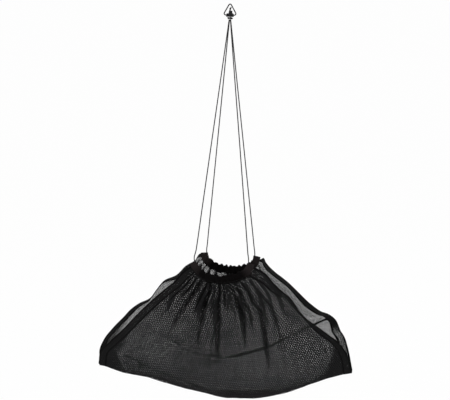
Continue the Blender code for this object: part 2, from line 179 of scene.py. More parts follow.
BOTTOM_FOLD = (
    (-0.3840, 0.0, -1.0680),
    (-0.3260, 0.0, -1.0830),
    (-0.2190, 0.0, -1.0960),
    (-0.1020, 0.0, -1.1180),
    (0.0250, 0.0, -1.1310),
    (0.1440, 0.0, -1.1120),
    (0.2250, 0.0, -1.0800),
    (0.3100, 0.0, -1.0400),
    (0.3720, 0.0, -1.0170),
)


class Body(str, Enum):
    """The sling's moving bodies."""

    RING = "ring"
    SLING = "sling"
    FRONT_LOOP = "front_loop"
    BACK_LOOP = "back_loop"


class Slot(str, Enum):
    """The finishes that the record names."""

    WIRE = "ring_wire"
    CORD = "cord"
    MESH = "mesh"
    HEM = "hem"


class Side(Enum):
    """A side of the sheet, as the sign of its direction along Y."""

    FRONT = -1
    BACK = 1

    @property
    def word(self) -> str:
        """The side's name in the names of pieces."""
        return self.name.lower()

    @property
    def loop(self) -> Body:
        """The body that this side's cord and casing belong to."""
        return Body.FRONT_LOOP if self is Side.FRONT else Body.BACK_LOOP


def smooth(value: np.ndarray | float) -> np.ndarray | float:
    """0 to 1 with level ends."""
    value = np.clip(value, 0.0, 1.0)
    return value * value * (3 - 2 * value)


def unit(vectors: np.ndarray) -> np.ndarray:
    """Vectors at length 1."""
    return vectors / np.linalg.norm(vectors, axis=-1, keepdims=True)


def ripples(across: np.ndarray, down: np.ndarray, reach: tuple[float, float], seed: int) -> np.ndarray:
    """A smooth irregular field between about -1 and 1.

    Args:
        across: Places across the cloth, in metres.
        down: Places down the cloth, in metres.
        reach: Shortest and longest wave, in metres.
        seed: Seed of the waves' directions and phases.

    Returns:
        The field's value at each place.
    """
    dice = np.random.default_rng(seed)
    count = 14
    total = np.zeros(np.broadcast(across, down).shape)
    for _ in range(count):
        wave = dice.uniform(*reach)
        heading = dice.uniform(0, math.pi)
        phase = dice.uniform(0, 2 * math.pi)
        turn = 2 * math.pi / wave
        total += np.sin(turn * (across * math.cos(heading) + down * math.sin(heading)) + phase)
    return total / math.sqrt(count)


class Route:
    """A smooth curve through chosen points, read by its length."""

    SAMPLES = 24
    HEADING_REACH = 0.004

    def __init__(self, points: tuple) -> None:
        """Draw the curve.

        Args:
            points: The route's own points, in metres.
        """
        knots = np.array(points, float)
        steps = np.diff(knots, axis=0)
        reach = np.linalg.norm(steps, axis=1, keepdims=True)
        middle = unit(steps[:-1] / reach[:-1] ** 2 + steps[1:] / reach[1:] ** 2)
        slopes = np.vstack((steps[:1] / reach[:1], middle, steps[-1:] / reach[-1:]))
        near = knots[:-1] + slopes[:-1] * reach / 3
        far = knots[1:] - slopes[1:] * reach / 3
        share = np.linspace(0.0, 1.0, self.SAMPLES)[:, None, None]
        curve = (
            knots[:-1] * (1 - share) ** 3
            + near * 3 * share * (1 - share) ** 2
            + far * 3 * share**2 * (1 - share)
            + knots[1:] * share**3
        )
        stretches = [curve[:, index] for index in range(len(steps))]
        self.points = np.vstack([stretches[0]] + [stretch[1:] for stretch in stretches[1:]])
        self.marks = np.arange(len(knots)) * (self.SAMPLES - 1)
        lengths = np.linalg.norm(np.diff(self.points, axis=0), axis=1)
        self.run = np.concatenate(([0.0], np.cumsum(lengths)))
        self.length = float(self.run[-1])

    def at(self, distance: np.ndarray | float) -> np.ndarray:
        """Points at distances along the curve."""
        return np.stack([np.interp(distance, self.run, self.points[:, axis]) for axis in range(3)], axis=-1)

    def share(self, part: np.ndarray | float) -> np.ndarray:
        """Points at shares of the curve's length."""
        return self.at(np.asarray(part) * self.length)

    def heading(self, distance: np.ndarray) -> np.ndarray:
        """Directions of travel at distances along the curve."""
        reach = self.length * self.HEADING_REACH
        return unit(self.at(distance + reach) - self.at(distance - reach))

    def mark_distance(self, mark: float) -> float:
        """Distance at a place counted in the route's own stretches."""
        low = int(mark)
        start = self.run[self.marks[low]]
        end = self.run[self.marks[min(low + 1, len(self.marks) - 1)]]
        return float(start + (end - start) * (mark - low))


# Meshes


def new_object(name: str, data: bpy.types.ID) -> bpy.types.Object:
    """Put a new object into the scene."""
    item = bpy.data.objects.new(name, data)
    bpy.context.scene.collection.objects.link(item)
    return item


def smooth_mesh(name: str, points: np.ndarray, faces: list, layer: str, uv: np.ndarray) -> bpy.types.Mesh:
    """A smooth mesh with one UV map.

    Args:
        name: The mesh's name.
        points: Its points, in any grid, in metres.
        faces: Its faces, as lists of point numbers.
        layer: The UV map's name.
        uv: The UV map's values, corner after corner, in metres.

    Returns:
        The mesh.
    """
    mesh = bpy.data.meshes.new(name)
    mesh.from_pydata(points.reshape(-1, 3).tolist(), [], faces)
    mesh.uv_layers.new(name=layer).data.foreach_set("uv", uv.astype(np.float32).ravel())
    mesh.shade_smooth()
    return mesh


def grid_mesh(name: str, points: np.ndarray, uv: np.ndarray) -> bpy.types.Mesh:
    """An open surface from a grid of points.

    Args:
        name: The mesh's name.
        points: Rows and columns of points, in metres.
        uv: The same rows and columns of cloth coordinates, in metres.

    Returns:
        The mesh, shaded smooth, with its UV map.
    """
    rows, columns = points.shape[:2]
    index = np.arange(rows * columns).reshape(rows, columns)
    corners = (index[:-1, :-1], index[:-1, 1:], index[1:, 1:], index[1:, :-1])
    faces = np.stack(corners, axis=-1).reshape(-1, 4)
    return smooth_mesh(name, points, faces.tolist(), "cloth", uv.reshape(-1, 2)[faces])


def carried_normals(along: np.ndarray, closed: bool) -> np.ndarray:
    """Directions across a line, carried along it without a twist.

    Args:
        along: Directions of travel at the line's points.
        closed: True if the last point leads back to the first, where the directions then meet.

    Returns:
        One direction for each point.
    """
    least_lean = 0.1
    normal = np.empty_like(along)
    start = np.cross(along[0], (0.0, 1.0, 0.0))
    if np.linalg.norm(start) < least_lean:
        start = np.cross(along[0], (1.0, 0.0, 0.0))
    normal[0] = unit(start)
    for index in range(1, len(along)):
        carried = normal[index - 1] - along[index] * np.dot(normal[index - 1], along[index])
        normal[index] = unit(carried)
    if closed:
        carried = normal[-1] - along[0] * np.dot(normal[-1], along[0])
        side = np.cross(along[0], normal[0])
        slip = math.atan2(np.dot(carried, side), np.dot(carried, normal[0]))
        twist = -slip * np.arange(len(along)) / len(along)
        across = np.cross(along, normal)
        normal = normal * np.cos(twist)[:, None] + across * np.sin(twist)[:, None]
    return normal


def tube_uv(points: np.ndarray, radius: float, sides: int, closed: bool) -> np.ndarray:
    """Cord coordinates of a tube's corners, round it and along it, in metres. Its end caps hold zeros."""
    run = np.concatenate(([0.0], np.cumsum(np.linalg.norm(np.diff(points, axis=0), axis=1))))
    if closed:
        run = np.append(run, run[-1] + np.linalg.norm(points[0] - points[-1]))
    last = len(run) - 1
    round_step = 2 * math.pi * radius / sides
    low = np.repeat(run[:last], sides)
    high = np.repeat(run[1:], sides)
    left = np.tile(np.arange(sides) * round_step, last)
    right = left + round_step
    square = np.stack((left, low, right, low, right, high, left, high), axis=-1).reshape(-1)
    caps = 0 if closed else 2
    return np.concatenate((square, np.zeros(caps * sides * 2)))


def tube_mesh(
    name: str,
    points: np.ndarray,
    radius: float,
    sides: int,
    closed: bool = False,
) -> bpy.types.Mesh:
    """A round tube along points, with capped ends and a UV map in metres.

    Args:
        name: The mesh's name.
        points: The centre line.
        radius: The tube's radius.
        sides: Count of its sides.
        closed: True if the last point leads back to the first.

    Returns:
        The closed mesh.
    """
    count = len(points)
    following = np.roll(points, -1, axis=0)
    before = np.roll(points, 1, axis=0)
    if not closed:
        following[-1] = points[-1]
        before[0] = points[0]
    along = unit(following - before)
    normal = carried_normals(along, closed)
    across = np.cross(along, normal)
    angle = 2 * math.pi * np.arange(sides) / sides
    spokes = normal[:, None] * np.cos(angle)[None, :, None] + across[:, None] * np.sin(angle)[None, :, None]
    ring = points[:, None] + spokes * radius
    index = np.arange(count * sides).reshape(count, sides)
    step = np.roll(index, -1, axis=1)
    last = count if closed else count - 1
    ahead = np.roll(index, -1, axis=0)[:last]
    ahead_step = np.roll(step, -1, axis=0)[:last]
    faces = np.stack((index[:last], step[:last], ahead_step, ahead), axis=-1).reshape(-1, 4)
    caps = [] if closed else [list(index[0][::-1]), list(index[-1])]
    return smooth_mesh(name, ring, faces.tolist() + caps, "cord", tube_uv(points, radius, sides, closed))


def settle(item: bpy.types.Object) -> bpy.types.Object:
    """Make an object's modifiers part of its mesh, as a plain mesh object of the same name."""
    bpy.context.view_layer.update()
    graph = bpy.context.evaluated_depsgraph_get()
    mesh = bpy.data.meshes.new_from_object(
        item.evaluated_get(graph), preserve_all_data_layers=True, depsgraph=graph
    )
    name = item.name
    bpy.data.objects.remove(item)
    mesh.name = name
    return new_object(name, mesh)


def add_wall(item: bpy.types.Object, thickness: float, offset: float = 0.0) -> bpy.types.Object:
    """Give an open surface its wall, and make it part of the mesh."""
    wall = item.modifiers.new("wall", "SOLIDIFY")
    wall.thickness = thickness
    wall.offset = offset
    wall.use_even_offset = False
    wall.use_rim = True
    return settle(item)


# Shader graphs


class Graph:
    """A material's node tree, written as expressions."""

    def __init__(self, tree: bpy.types.NodeTree) -> None:
        """Wrap a node tree and clear it."""
        self.tree = tree
        tree.nodes.clear()

    def node(self, kind: str, settings: dict | None = None, inputs: dict | None = None) -> bpy.types.Node:
        """Add one node.

        Args:
            kind: The node's type.
            settings: Its properties, set first.
            inputs: Values or signals for its sockets, by name or by place.

        Returns:
            The node.
        """
        item = self.tree.nodes.new(kind)
        for name, value in (settings or {}).items():
            setattr(item, name, value)
        for name, value in (inputs or {}).items():
            socket = item.inputs[name]
            if isinstance(value, Signal):
                self.tree.links.new(value.socket, socket)
            elif isinstance(value, bpy.types.NodeSocket):
                self.tree.links.new(value, socket)
            else:
                socket.default_value = value
        return item

    def math(self, operation: str, *values: "Signal | float") -> "Signal":
        """A Math node on values."""
        item = self.node("ShaderNodeMath", {"operation": operation}, dict(enumerate(values)))
        return Signal(self, item.outputs[0])

    def mix(self, share: "Signal | float", first: tuple, second: tuple) -> bpy.types.NodeSocket:
        """A colour between two, by a share."""
        item = self.node("ShaderNodeMix", {"data_type": "RGBA"}, {0: share, 6: first, 7: second})
        return item.outputs[2]

    def noise(self, place: bpy.types.NodeSocket, scale: float, detail: float = 2.0) -> "Signal":
        """Noise over a place, from 0 to 1."""
        item = self.node("ShaderNodeTexNoise", None, {"Vector": place, "Scale": scale, "Detail": detail})
        return Signal(self, item.outputs["Fac"])

    def place(self, kind: str) -> bpy.types.NodeSocket:
        """A set of coordinates of the surface: "UV" or "Object"."""
        return self.node("ShaderNodeTexCoord").outputs[kind]

    def stored(self, name: str, kind: str) -> bpy.types.NodeSocket:
        """A value that the mesh stores at its points, as "Fac" or "Vector"."""
        return self.node("ShaderNodeAttribute", {"attribute_name": name}).outputs[kind]

    def axes(self, place: bpy.types.NodeSocket) -> list["Signal"]:
        """The three numbers of a place."""
        parts = self.node("ShaderNodeSeparateXYZ", None, {"Vector": place})
        return [Signal(self, part) for part in parts.outputs]

    def bump(self, strength: float, distance: float, height: "Signal") -> bpy.types.NodeSocket:
        """The normal of a surface that a height raises."""
        given = {"Strength": strength, "Distance": distance, "Height": height}
        item = self.node("ShaderNodeBump", None, given)
        return item.outputs[0]


class Signal:
    """A number that varies over a surface, with arithmetic."""

    def __init__(self, graph: Graph, socket: bpy.types.NodeSocket) -> None:
        """Wrap an output socket."""
        self.graph = graph
        self.socket = socket

    def __add__(self, other: "Signal | float") -> "Signal":
        """Sum."""
        return self.graph.math("ADD", self, other)

    __radd__ = __add__

    def __sub__(self, other: "Signal | float") -> "Signal":
        """Difference."""
        return self.graph.math("SUBTRACT", self, other)

    def __rsub__(self, other: float) -> "Signal":
        """Difference from a number."""
        return self.graph.math("SUBTRACT", other, self)

    def __mul__(self, other: "Signal | float") -> "Signal":
        """Product."""
        return self.graph.math("MULTIPLY", self, other)

    def __truediv__(self, other: "Signal | float") -> "Signal":
        """Quotient."""
        return self.graph.math("DIVIDE", self, other)

    def fract(self) -> "Signal":
        """The part after the point."""
        return self.graph.math("FRACT", self)

    def root(self) -> "Signal":
        """Square root."""
        return self.graph.math("SQRT", self)

    def sine(self) -> "Signal":
        """Sine of an angle in radians."""
        return self.graph.math("SINE", self)

    def least(self, other: "Signal | float") -> "Signal":
        """The smaller of two."""
        return self.graph.math("MINIMUM", self, other)

    def most(self, other: "Signal | float") -> "Signal":
        """The larger of two."""
        return self.graph.math("MAXIMUM", self, other)

    def clamp(self) -> "Signal":
        """Held between 0 and 1."""
        return self.most(0.0).least(1.0)


@dataclass(frozen=True)
class Finish:
    """A finish: its near-black colours, roughness and sheen of its highlights."""

    name: str
    dark: tuple[float, float, float]
    light: tuple[float, float, float]
    roughness: float
    gloss: float

    def begin(self) -> tuple[bpy.types.Material, Graph]:
        """A new material with an empty tree."""
        material = bpy.data.materials.new(self.name)
        material.use_nodes = True
        return material, Graph(material.node_tree)

    def close(self, graph: Graph, share: Signal, inputs: dict) -> None:
        """Add the surface shader and the output.

        Args:
            graph: The material's graph.
            share: Where the colour lies between dark and light, before it is held between 0 and 1.
            inputs: What else varies over the surface, by socket name.
        """
        colour = graph.mix(share.clamp(), (*self.dark, 1.0), (*self.light, 1.0))
        uniform = {"Roughness": self.roughness, "Specular IOR Level": self.gloss, "Metallic": 0.0}
        shader = graph.node("ShaderNodeBsdfPrincipled", None, {**uniform, "Base Color": colour, **inputs})
        graph.node("ShaderNodeOutputMaterial", None, {"Surface": shader.outputs[0]})


@dataclass(frozen=True)
class Crease:
    """A line where the cloth's holes close and painted shade darkens it, between two places on it in metres:
    along pressed creases, and along folds near the back's neck.
    """

    start: tuple[float, float]
    end: tuple[float, float]
    wide: float = 0.0022
    strength: float = 1.0


@dataclass(frozen=True)
class MeshFinish(Finish):
    """Knitted mesh: small round holes between soft black threads.

    The holes stand in staggered rows, or loosely where loose isn't 0. The rows follow the cloth's own
    coordinates, or with hanging_rows the panel as it hangs at rest.
    """

    pitch: float = 0.0040
    open_share: float = 0.19
    edge: float = 0.00016
    loose: float = 0.0
    lay: float = 0.0
    dot_step: float = 0.0058
    dot_swing: float = 0.0
    hanging_rows: bool = False
    # Lines of painted shade that also close the holes: pressed creases, and folds near the back's neck
    creases: tuple[Crease, ...] = ()
    crease_fade: float = 0.012
    crease_wander: float = 0.003
    wander_scale: float = 30.0
    grain_scale: float = 900.0
    grain_relief: float = 0.3
    drift_scale: float = 14.0
    relief: float = 0.6

    def nearest(self, graph: Graph, first: Signal, second: Signal) -> Signal:
        """Distance to the middle of the nearest hole, in staggered rows or set loosely."""
        if self.loose:
            place = graph.node("ShaderNodeCombineXYZ", None, {0: first, 1: second})
            inputs = {"Vector": place.outputs[0], "Scale": 1.0 / self.pitch, "Randomness": self.loose}
            cells = graph.node("ShaderNodeTexVoronoi", {"voronoi_dimensions": "2D"}, inputs)
            return Signal(graph, cells.outputs["Distance"]) * self.pitch
        row_step = self.pitch * math.sqrt(3)
        found = []
        for shift in (0.0, 0.5):
            x = ((first / self.pitch + shift).fract() - 0.5) * self.pitch
            y = ((second / row_step + shift).fract() - 0.5) * row_step
            found.append((x * x + y * y).root())
        return found[0].least(found[1])

    def crease(self, line: Crease, across: Signal, down: Signal) -> Signal:
        """How strongly a crease closes the cloth and paints shade on it, at each place."""
        start = np.array(line.start)
        run = np.array(line.end) - start
        length = float(np.linalg.norm(run))
        x, y = (float(part) for part in run / length)
        from_x = across - line.start[0]
        from_y = down - line.start[1]
        along = from_x * x + from_y * y
        aside = (from_x * y - from_y * x) / line.wide
        near = 1.0 - aside * aside
        ends = (along / self.crease_fade).least((length - along) / self.crease_fade)
        return near.clamp() * ends.clamp() * line.strength

    def closed_and_shaded(self, graph: Graph, place: bpy.types.NodeSocket) -> Signal:
        """How closed the cloth is, and how far painted shade darkens its colour: where it is doubled or
        bunched, and along its creases.
        """
        across, down, _ = graph.axes(place)
        closed_and_shaded = Signal(graph, graph.stored("closed_and_shaded", "Fac"))
        wander = graph.noise(place, self.wander_scale) * (2 * self.crease_wander) - self.crease_wander
        for line in self.creases:
            closed_and_shaded = closed_and_shaded.most(self.crease(line, across + wander, down + wander))
        return closed_and_shaded

    def rows(self, graph: Graph, place: bpy.types.NodeSocket) -> tuple[Signal, Signal]:
        """Places along and across the rows of holes, in metres."""
        if self.hanging_rows:
            across, _, down = graph.axes(graph.stored("hung", "Vector"))
        else:
            across, down, _ = graph.axes(place)
        first = across * math.cos(self.lay) + down * math.sin(self.lay)
        second = down * math.cos(self.lay) - across * math.sin(self.lay)
        return first, second

    def material(self) -> bpy.types.Material:
        """The finish as a material that reads the cloth's own UV map and what its points store."""
        material, graph = self.begin()
        place = graph.place("UV")
        closed_and_shaded = self.closed_and_shaded(graph, place)
        first, second = self.rows(graph, place)
        nearest = self.nearest(graph, first, second)
        cell = self.pitch**2 * (1.0 if self.loose else math.sqrt(3) / 2)
        turn = 2 * math.pi / self.dot_step
        swing = (first * turn).sine() * (second * turn).sine() * self.dot_swing + 1.0
        radius = (1.0 - closed_and_shaded) * swing * math.sqrt(self.open_share * cell / math.pi)
        beyond = nearest - radius
        grain = graph.noise(place, self.grain_scale)
        drift = graph.noise(place, self.drift_scale)
        height = beyond.most(0.0) * (1.0 + grain * self.grain_relief)
        # Painted shade: the colour goes towards the dark one where the cloth is doubled, bunched or creased,
        # standing for shade between its layers and in its folds
        share = (grain * 0.5 + drift * 0.5) * (1.0 - closed_and_shaded * closed_and_shaded)
        alpha = (beyond / self.edge + 0.5).clamp()
        self.close(graph, share, {"Alpha": alpha, "Normal": graph.bump(self.relief, 1.0, height)})
        return material


@dataclass(frozen=True)
class WovenFinish(Finish):
    """Dense layered cloth of a casing: fine knit over soft creases, with painted shade in their hollows,
    lighter and browner towards its ends.
    """

    knit: float = 0.0011
    ends: float = 0.0
    ends_from: float = 0.33
    ends_over: float = 0.12
    drift_scale: float = 60.0
    drift_detail: float = 4.0
    weave_share: float = 0.2
    relief: float = 0.0003
    relief_strength: float = 0.5

    def material(self) -> bpy.types.Material:
        """The finish as a material that reads the cloth's own UV map."""
        material, graph = self.begin()
        place = graph.place("UV")
        across, down, _ = graph.axes(place)
        turn = 2 * math.pi / self.knit
        weave = (across * turn).sine() * (down * turn).sine() * 0.5 + 0.5
        drift = graph.noise(place, self.drift_scale, self.drift_detail)
        aside = across / CLOTH_WIDE - 0.5
        # Lighter towards both ends of the casing
        lighter_ends = ((aside.most(aside * -1.0) - self.ends_from) / self.ends_over).clamp()
        # Painted shade: the colour is darker in the hollows of the knit and the soft creases, the same
        # heights that the bump draws
        cloth = drift * (1 - self.weave_share) + weave * self.weave_share
        share = cloth * (1.0 - self.ends) + lighter_ends * self.ends
        normal = graph.bump(self.relief_strength, self.relief, weave + drift)
        self.close(graph, share, {"Normal": normal})
        return material


@dataclass(frozen=True)
class BraidFinish(Finish):
    """Braided cord: two sets of strands that cross round it, with painted shade in the grooves between them.
    """

    diameter: float = CORD
    strands: int = 6
    lay: float = 0.0052
    fuzz_scale: float = 2200.0
    fuzz_share: float = 0.3
    relief: float = 0.00022
    relief_strength: float = 0.8

    def material(self) -> bpy.types.Material:
        """The finish as a material that reads the cord's own UV map."""
        material, graph = self.begin()
        place = graph.place("UV")
        around, far, _ = graph.axes(place)
        turn = around * (2 * self.strands / self.diameter)
        along = far * (2 * math.pi * self.strands / self.lay / 2)
        over = (turn + along).sine().most((turn - along).sine()) * 0.5 + 0.5
        fuzz = graph.noise(place, self.fuzz_scale) * self.fuzz_share
        normal = graph.bump(self.relief_strength, self.relief, over + fuzz)
        # Painted shade: the colour follows the strands' relief, darker in the grooves between them
        self.close(graph, over * (1 - self.fuzz_share) + fuzz, {"Normal": normal})
        return material


@dataclass(frozen=True)
class WireFinish(Finish):
    """Black coating on bent wire, scuffed a little all over."""

    pit_scale: float = 1400.0
    scuff_scale: float = 260.0
    scuff_detail: float = 5.0
    scuff_contrast: float = 1.6
    scuff_rough: float = 0.3
    polish: float = 0.12
    relief: float = 0.0001
    relief_strength: float = 0.25

    def material(self) -> bpy.types.Material:
        """The finish as a material that reads Object coordinates."""
        material, graph = self.begin()
        place = graph.place("Object")
        pitted = graph.noise(place, self.pit_scale)
        scuff = graph.noise(place, self.scuff_scale, self.scuff_detail)
        rough = (scuff * self.scuff_rough + self.roughness - self.polish).clamp()
        normal = graph.bump(self.relief_strength, self.relief, pitted)
        share = scuff * self.scuff_contrast - 0.5
        self.close(graph, share, {"Roughness": rough, "Normal": normal})
        return material


# The dark colour is also the one that painted shade reaches where the cloth is doubled, bunched or creased
MESH_DARK = (0.0025, 0.0025, 0.0026)
MESH_LIGHT = (0.0185, 0.0185, 0.0192)
# Lines where the sheet's holes close and painted shade darkens it: along pressed creases, and on the back
# along the folds below its casing, as places across the sheet and down from its casing
FRONT_CREASES_AND_SHADE = (
    Crease((0.3455, -0.2582), (0.3568, -0.3098)),
    Crease((0.6613, -0.1928), (0.6294, -0.2582)),
    Crease((0.4113, -0.0930), (0.4526, -0.2203), strength=0.7),
    Crease((0.3812, -0.2548), (0.4188, -0.2926)),
    Crease((0.4188, -0.2926), (0.4808, -0.3339), strength=0.8),
    Crease((0.5128, -0.2341), (0.5128, -0.2582)),
    Crease((0.0748, -0.3167), (0.1763, -0.3443), 0.0036, 0.6),
    Crease((0.1763, -0.3443), (0.3530, -0.3580), 0.0036, 0.6),
)
BACK_CREASES_AND_SHADE = (
    Crease((0.0804, -0.2410), (0.2900, -0.2960), 0.0028, 0.5),
    Crease((0.2900, -0.2960), (0.4000, -0.2940), 0.0034, 1.0),
    Crease((0.4000, -0.2940), (0.6331, -0.2444), 0.0040, 1.0),
    Crease((0.6331, -0.2444), (0.7900, -0.2230), 0.0034, 0.95),
    Crease((0.0380, -0.0200), (0.0380, -0.0900), 0.0200, 1.0),
    Crease((0.0600, 0.0213), (0.1307, -0.0272), 0.0042, 0.9),
    Crease((0.0980, 0.0206), (0.1618, -0.0260), 0.0045, 0.95),
    Crease((0.1500, 0.0210), (0.2248, -0.0300), 0.0085, 1.0),
    Crease((0.2230, 0.0218), (0.2887, -0.0300), 0.0160, 1.0),
    Crease((0.3570, 0.0199), (0.3900, -0.0155), 0.0055, 0.9),
    Crease((0.4350, 0.0200), (0.4450, -0.0200), 0.0900, 1.5),
)
FRONT_MESH = MeshFinish(
    "front_mesh", MESH_DARK, MESH_LIGHT, 0.85, 0.10,
    pitch=0.0064, lay=0.20, hanging_rows=True, creases=FRONT_CREASES_AND_SHADE,
)
BACK_MESH = MeshFinish(
    "back_mesh", MESH_DARK, MESH_LIGHT, 0.85, 0.10,
    pitch=0.0017, open_share=0.255, loose=0.8, lay=0.6, dot_swing=0.25, creases=BACK_CREASES_AND_SHADE,
)
HEM = MeshFinish(
    "hem", (0.0010, 0.0010, 0.0011), (0.0205, 0.0205, 0.0208), 0.85, 0.05,
    pitch=0.0028, open_share=0.20, loose=0.6, lay=0.3,
)
THREAD = WovenFinish("thread", (0.010, 0.010, 0.0105), (0.018, 0.018, 0.019), 0.7, 0.2, knit=0.0004)
CASING = WovenFinish("casing", (0.0007, 0.0007, 0.0007), (0.0175, 0.0145, 0.0145), 0.9, 0.04, ends=0.82)
BRAID = BraidFinish("cord", (0.006, 0.006, 0.0065), (0.016, 0.016, 0.017), 0.7, 0.2)
WIRE_COAT = WireFinish("ring_wire", (0.003, 0.003, 0.0034), (0.010, 0.010, 0.011), 0.5, 0.3)


# Studio


@dataclass(frozen=True)
class Lamp:
    """A square soft lamp: its place, its side and its power in watts."""

    name: str
    place: tuple[float, float, float]
    size: float
    power: float


LAMPS = (
    Lamp("key", (-1.7, -2.6, 0.9), 2.2, 46.0),
    Lamp("fill", (2.4, -1.8, 0.2), 2.0, 24.0),
    Lamp("rear", (0.6, 2.6, 1.2), 2.0, 26.0),
)


@dataclass
class Studio:
    """Camera, lamps, world and floor. The camera's values are fitted to the photograph."""

    elevation: float = math.radians(11.8)
    azimuth: float = math.radians(13.4)
    roll: float = math.atan(0.0167)
    distance: float = 3.2
    target_height: float = -0.5431
    lens: float = 90.78
    sensor: float = 36.0
    shift: float = -0.00425
    sight: float = 300.0
    lamps: tuple[Lamp, ...] = LAMPS
    cloth_height: float = -0.85
    floor_height: float = -1.62
    floor_reach: float = 90.0
    floor_sides: int = 96
    floor_white: float = 0.82
    backdrop_share: float = 0.975
    world_light: float = 0.55

    def build(self) -> None:
        """Set up everything that isn't the sling."""
        self.add_camera()
        self.add_world()
        for lamp in self.lamps:
            self.add_lamp(lamp)
        self.add_floor()

    def add_camera(self) -> None:
        """The camera at the photograph's angle."""
        target = Vector((0.0, 0.0, self.target_height))
        back = Vector((
            math.sin(self.azimuth) * math.cos(self.elevation),
            -math.cos(self.azimuth) * math.cos(self.elevation),
            math.sin(self.elevation),
        ))
        level = (-back).cross(Vector((0.0, 0.0, 1.0))).normalized()
        rise = level.cross(-back)
        right = level * math.cos(self.roll) + rise * math.sin(self.roll)
        up = rise * math.cos(self.roll) - level * math.sin(self.roll)
        data = bpy.data.cameras.new("camera")
        data.lens = self.lens
        data.sensor_width = self.sensor
        data.shift_x = self.shift
        data.clip_end = self.sight
        item = new_object("camera", data)
        turn = Matrix((right, up, back)).transposed().to_4x4()
        item.matrix_world = Matrix.Translation(target + back * self.distance) @ turn
        bpy.context.scene.camera = item

    def add_world(self) -> None:
        """A white world that lights plainly."""
        world = bpy.data.worlds.new("studio")
        bpy.context.scene.world = world
        world.use_nodes = True
        graph = Graph(world.node_tree)
        strength = self.seen(graph) * (1.0 - self.world_light) + self.world_light
        light = graph.node("ShaderNodeBackground", None, {"Color": WHITE, "Strength": strength})
        graph.node("ShaderNodeOutputWorld", None, {"Surface": light.outputs[0]})

    @staticmethod
    def seen(graph: Graph) -> Signal:
        """1 on rays from the camera, and on those that gloss and glass send on."""
        path = graph.node("ShaderNodeLightPath")
        names = ("Is Camera Ray", "Is Glossy Ray", "Is Transmission Ray")
        rays = [Signal(graph, path.outputs[name]) for name in names]
        return rays[0].most(rays[1]).most(rays[2])

    def add_lamp(self, lamp: Lamp) -> None:
        """One lamp that faces the sling's cloth."""
        data = bpy.data.lights.new(lamp.name, "AREA")
        data.shape = "SQUARE"
        data.size = lamp.size
        data.energy = lamp.power
        item = new_object(lamp.name, data)
        item.location = lamp.place
        aim = Vector((0.0, 0.0, self.cloth_height)) - Vector(lamp.place)
        item.rotation_euler = aim.to_track_quat("-Z", "Y").to_euler()
        item.visible_camera = False

    def add_floor(self) -> None:
        """The pale floor under the hanging sling."""
        shape = bmesh.new()
        bmesh.ops.create_circle(shape, cap_ends=True, segments=self.floor_sides, radius=self.floor_reach)
        bmesh.ops.translate(shape, verts=shape.verts, vec=(0.0, 0.0, self.floor_height))
        mesh = bpy.data.meshes.new("floor")
        shape.to_mesh(mesh)
        shape.free()
        material = bpy.data.materials.new("floor")
        material.use_nodes = True
        graph = Graph(material.node_tree)
        matt = graph.node("ShaderNodeBsdfDiffuse", None, {"Color": (*(self.floor_white,) * 3, 1.0)})
        plain = graph.node("ShaderNodeEmission", None, {"Color": WHITE, "Strength": 1.0})
        share = self.seen(graph) * self.backdrop_share
        both = graph.node("ShaderNodeMixShader", None, {0: share, 1: matt.outputs[0], 2: plain.outputs[0]})
        graph.node("ShaderNodeOutputMaterial", None, {"Surface": both.outputs[0]})
        mesh.materials.append(material)
        new_object("floor", mesh)


# Ring, hitch and knot


@dataclass
class Ring:
    """The welded wire triangle."""

    corner: float = math.radians(60)

    def bar_height(self) -> float:
        """Height of the bottom bar's centre line."""
        point_up = RING_BEND * (1 / math.sin(self.corner / 2) - 1)
        return WIRE / 2 + point_up - RING_SIDE * math.sin(self.corner)

    def build(self, nodes: dict) -> None:
        """Dress the CAD ring."""
        data = nodes["hanging_ring"].data
        data.materials.clear()
        data.materials.append(WIRE_COAT.material())
        LOG.info("hanging_ring: coated wire")


@dataclass(frozen=True)
class HitchHalf:
    """One half of the hitch: a cord that stands up as a tail, and its second end beside its turns.

    Heights are taken from the bar's centre line, and places along the bar from its middle.
    """

    word: str
    side: int
    tail: float
    lean: float
    end_height: float
    end_foot: float
    end_top: float


HITCH_HALVES = (
    HitchHalf("left", -1, tail=0.0222, lean=0.0046, end_height=0.0195, end_foot=0.0013, end_top=0.0013),
    HitchHalf("right", 1, tail=0.0122, lean=0.0003, end_height=0.0112, end_foot=0.0037, end_top=0.0034),
)


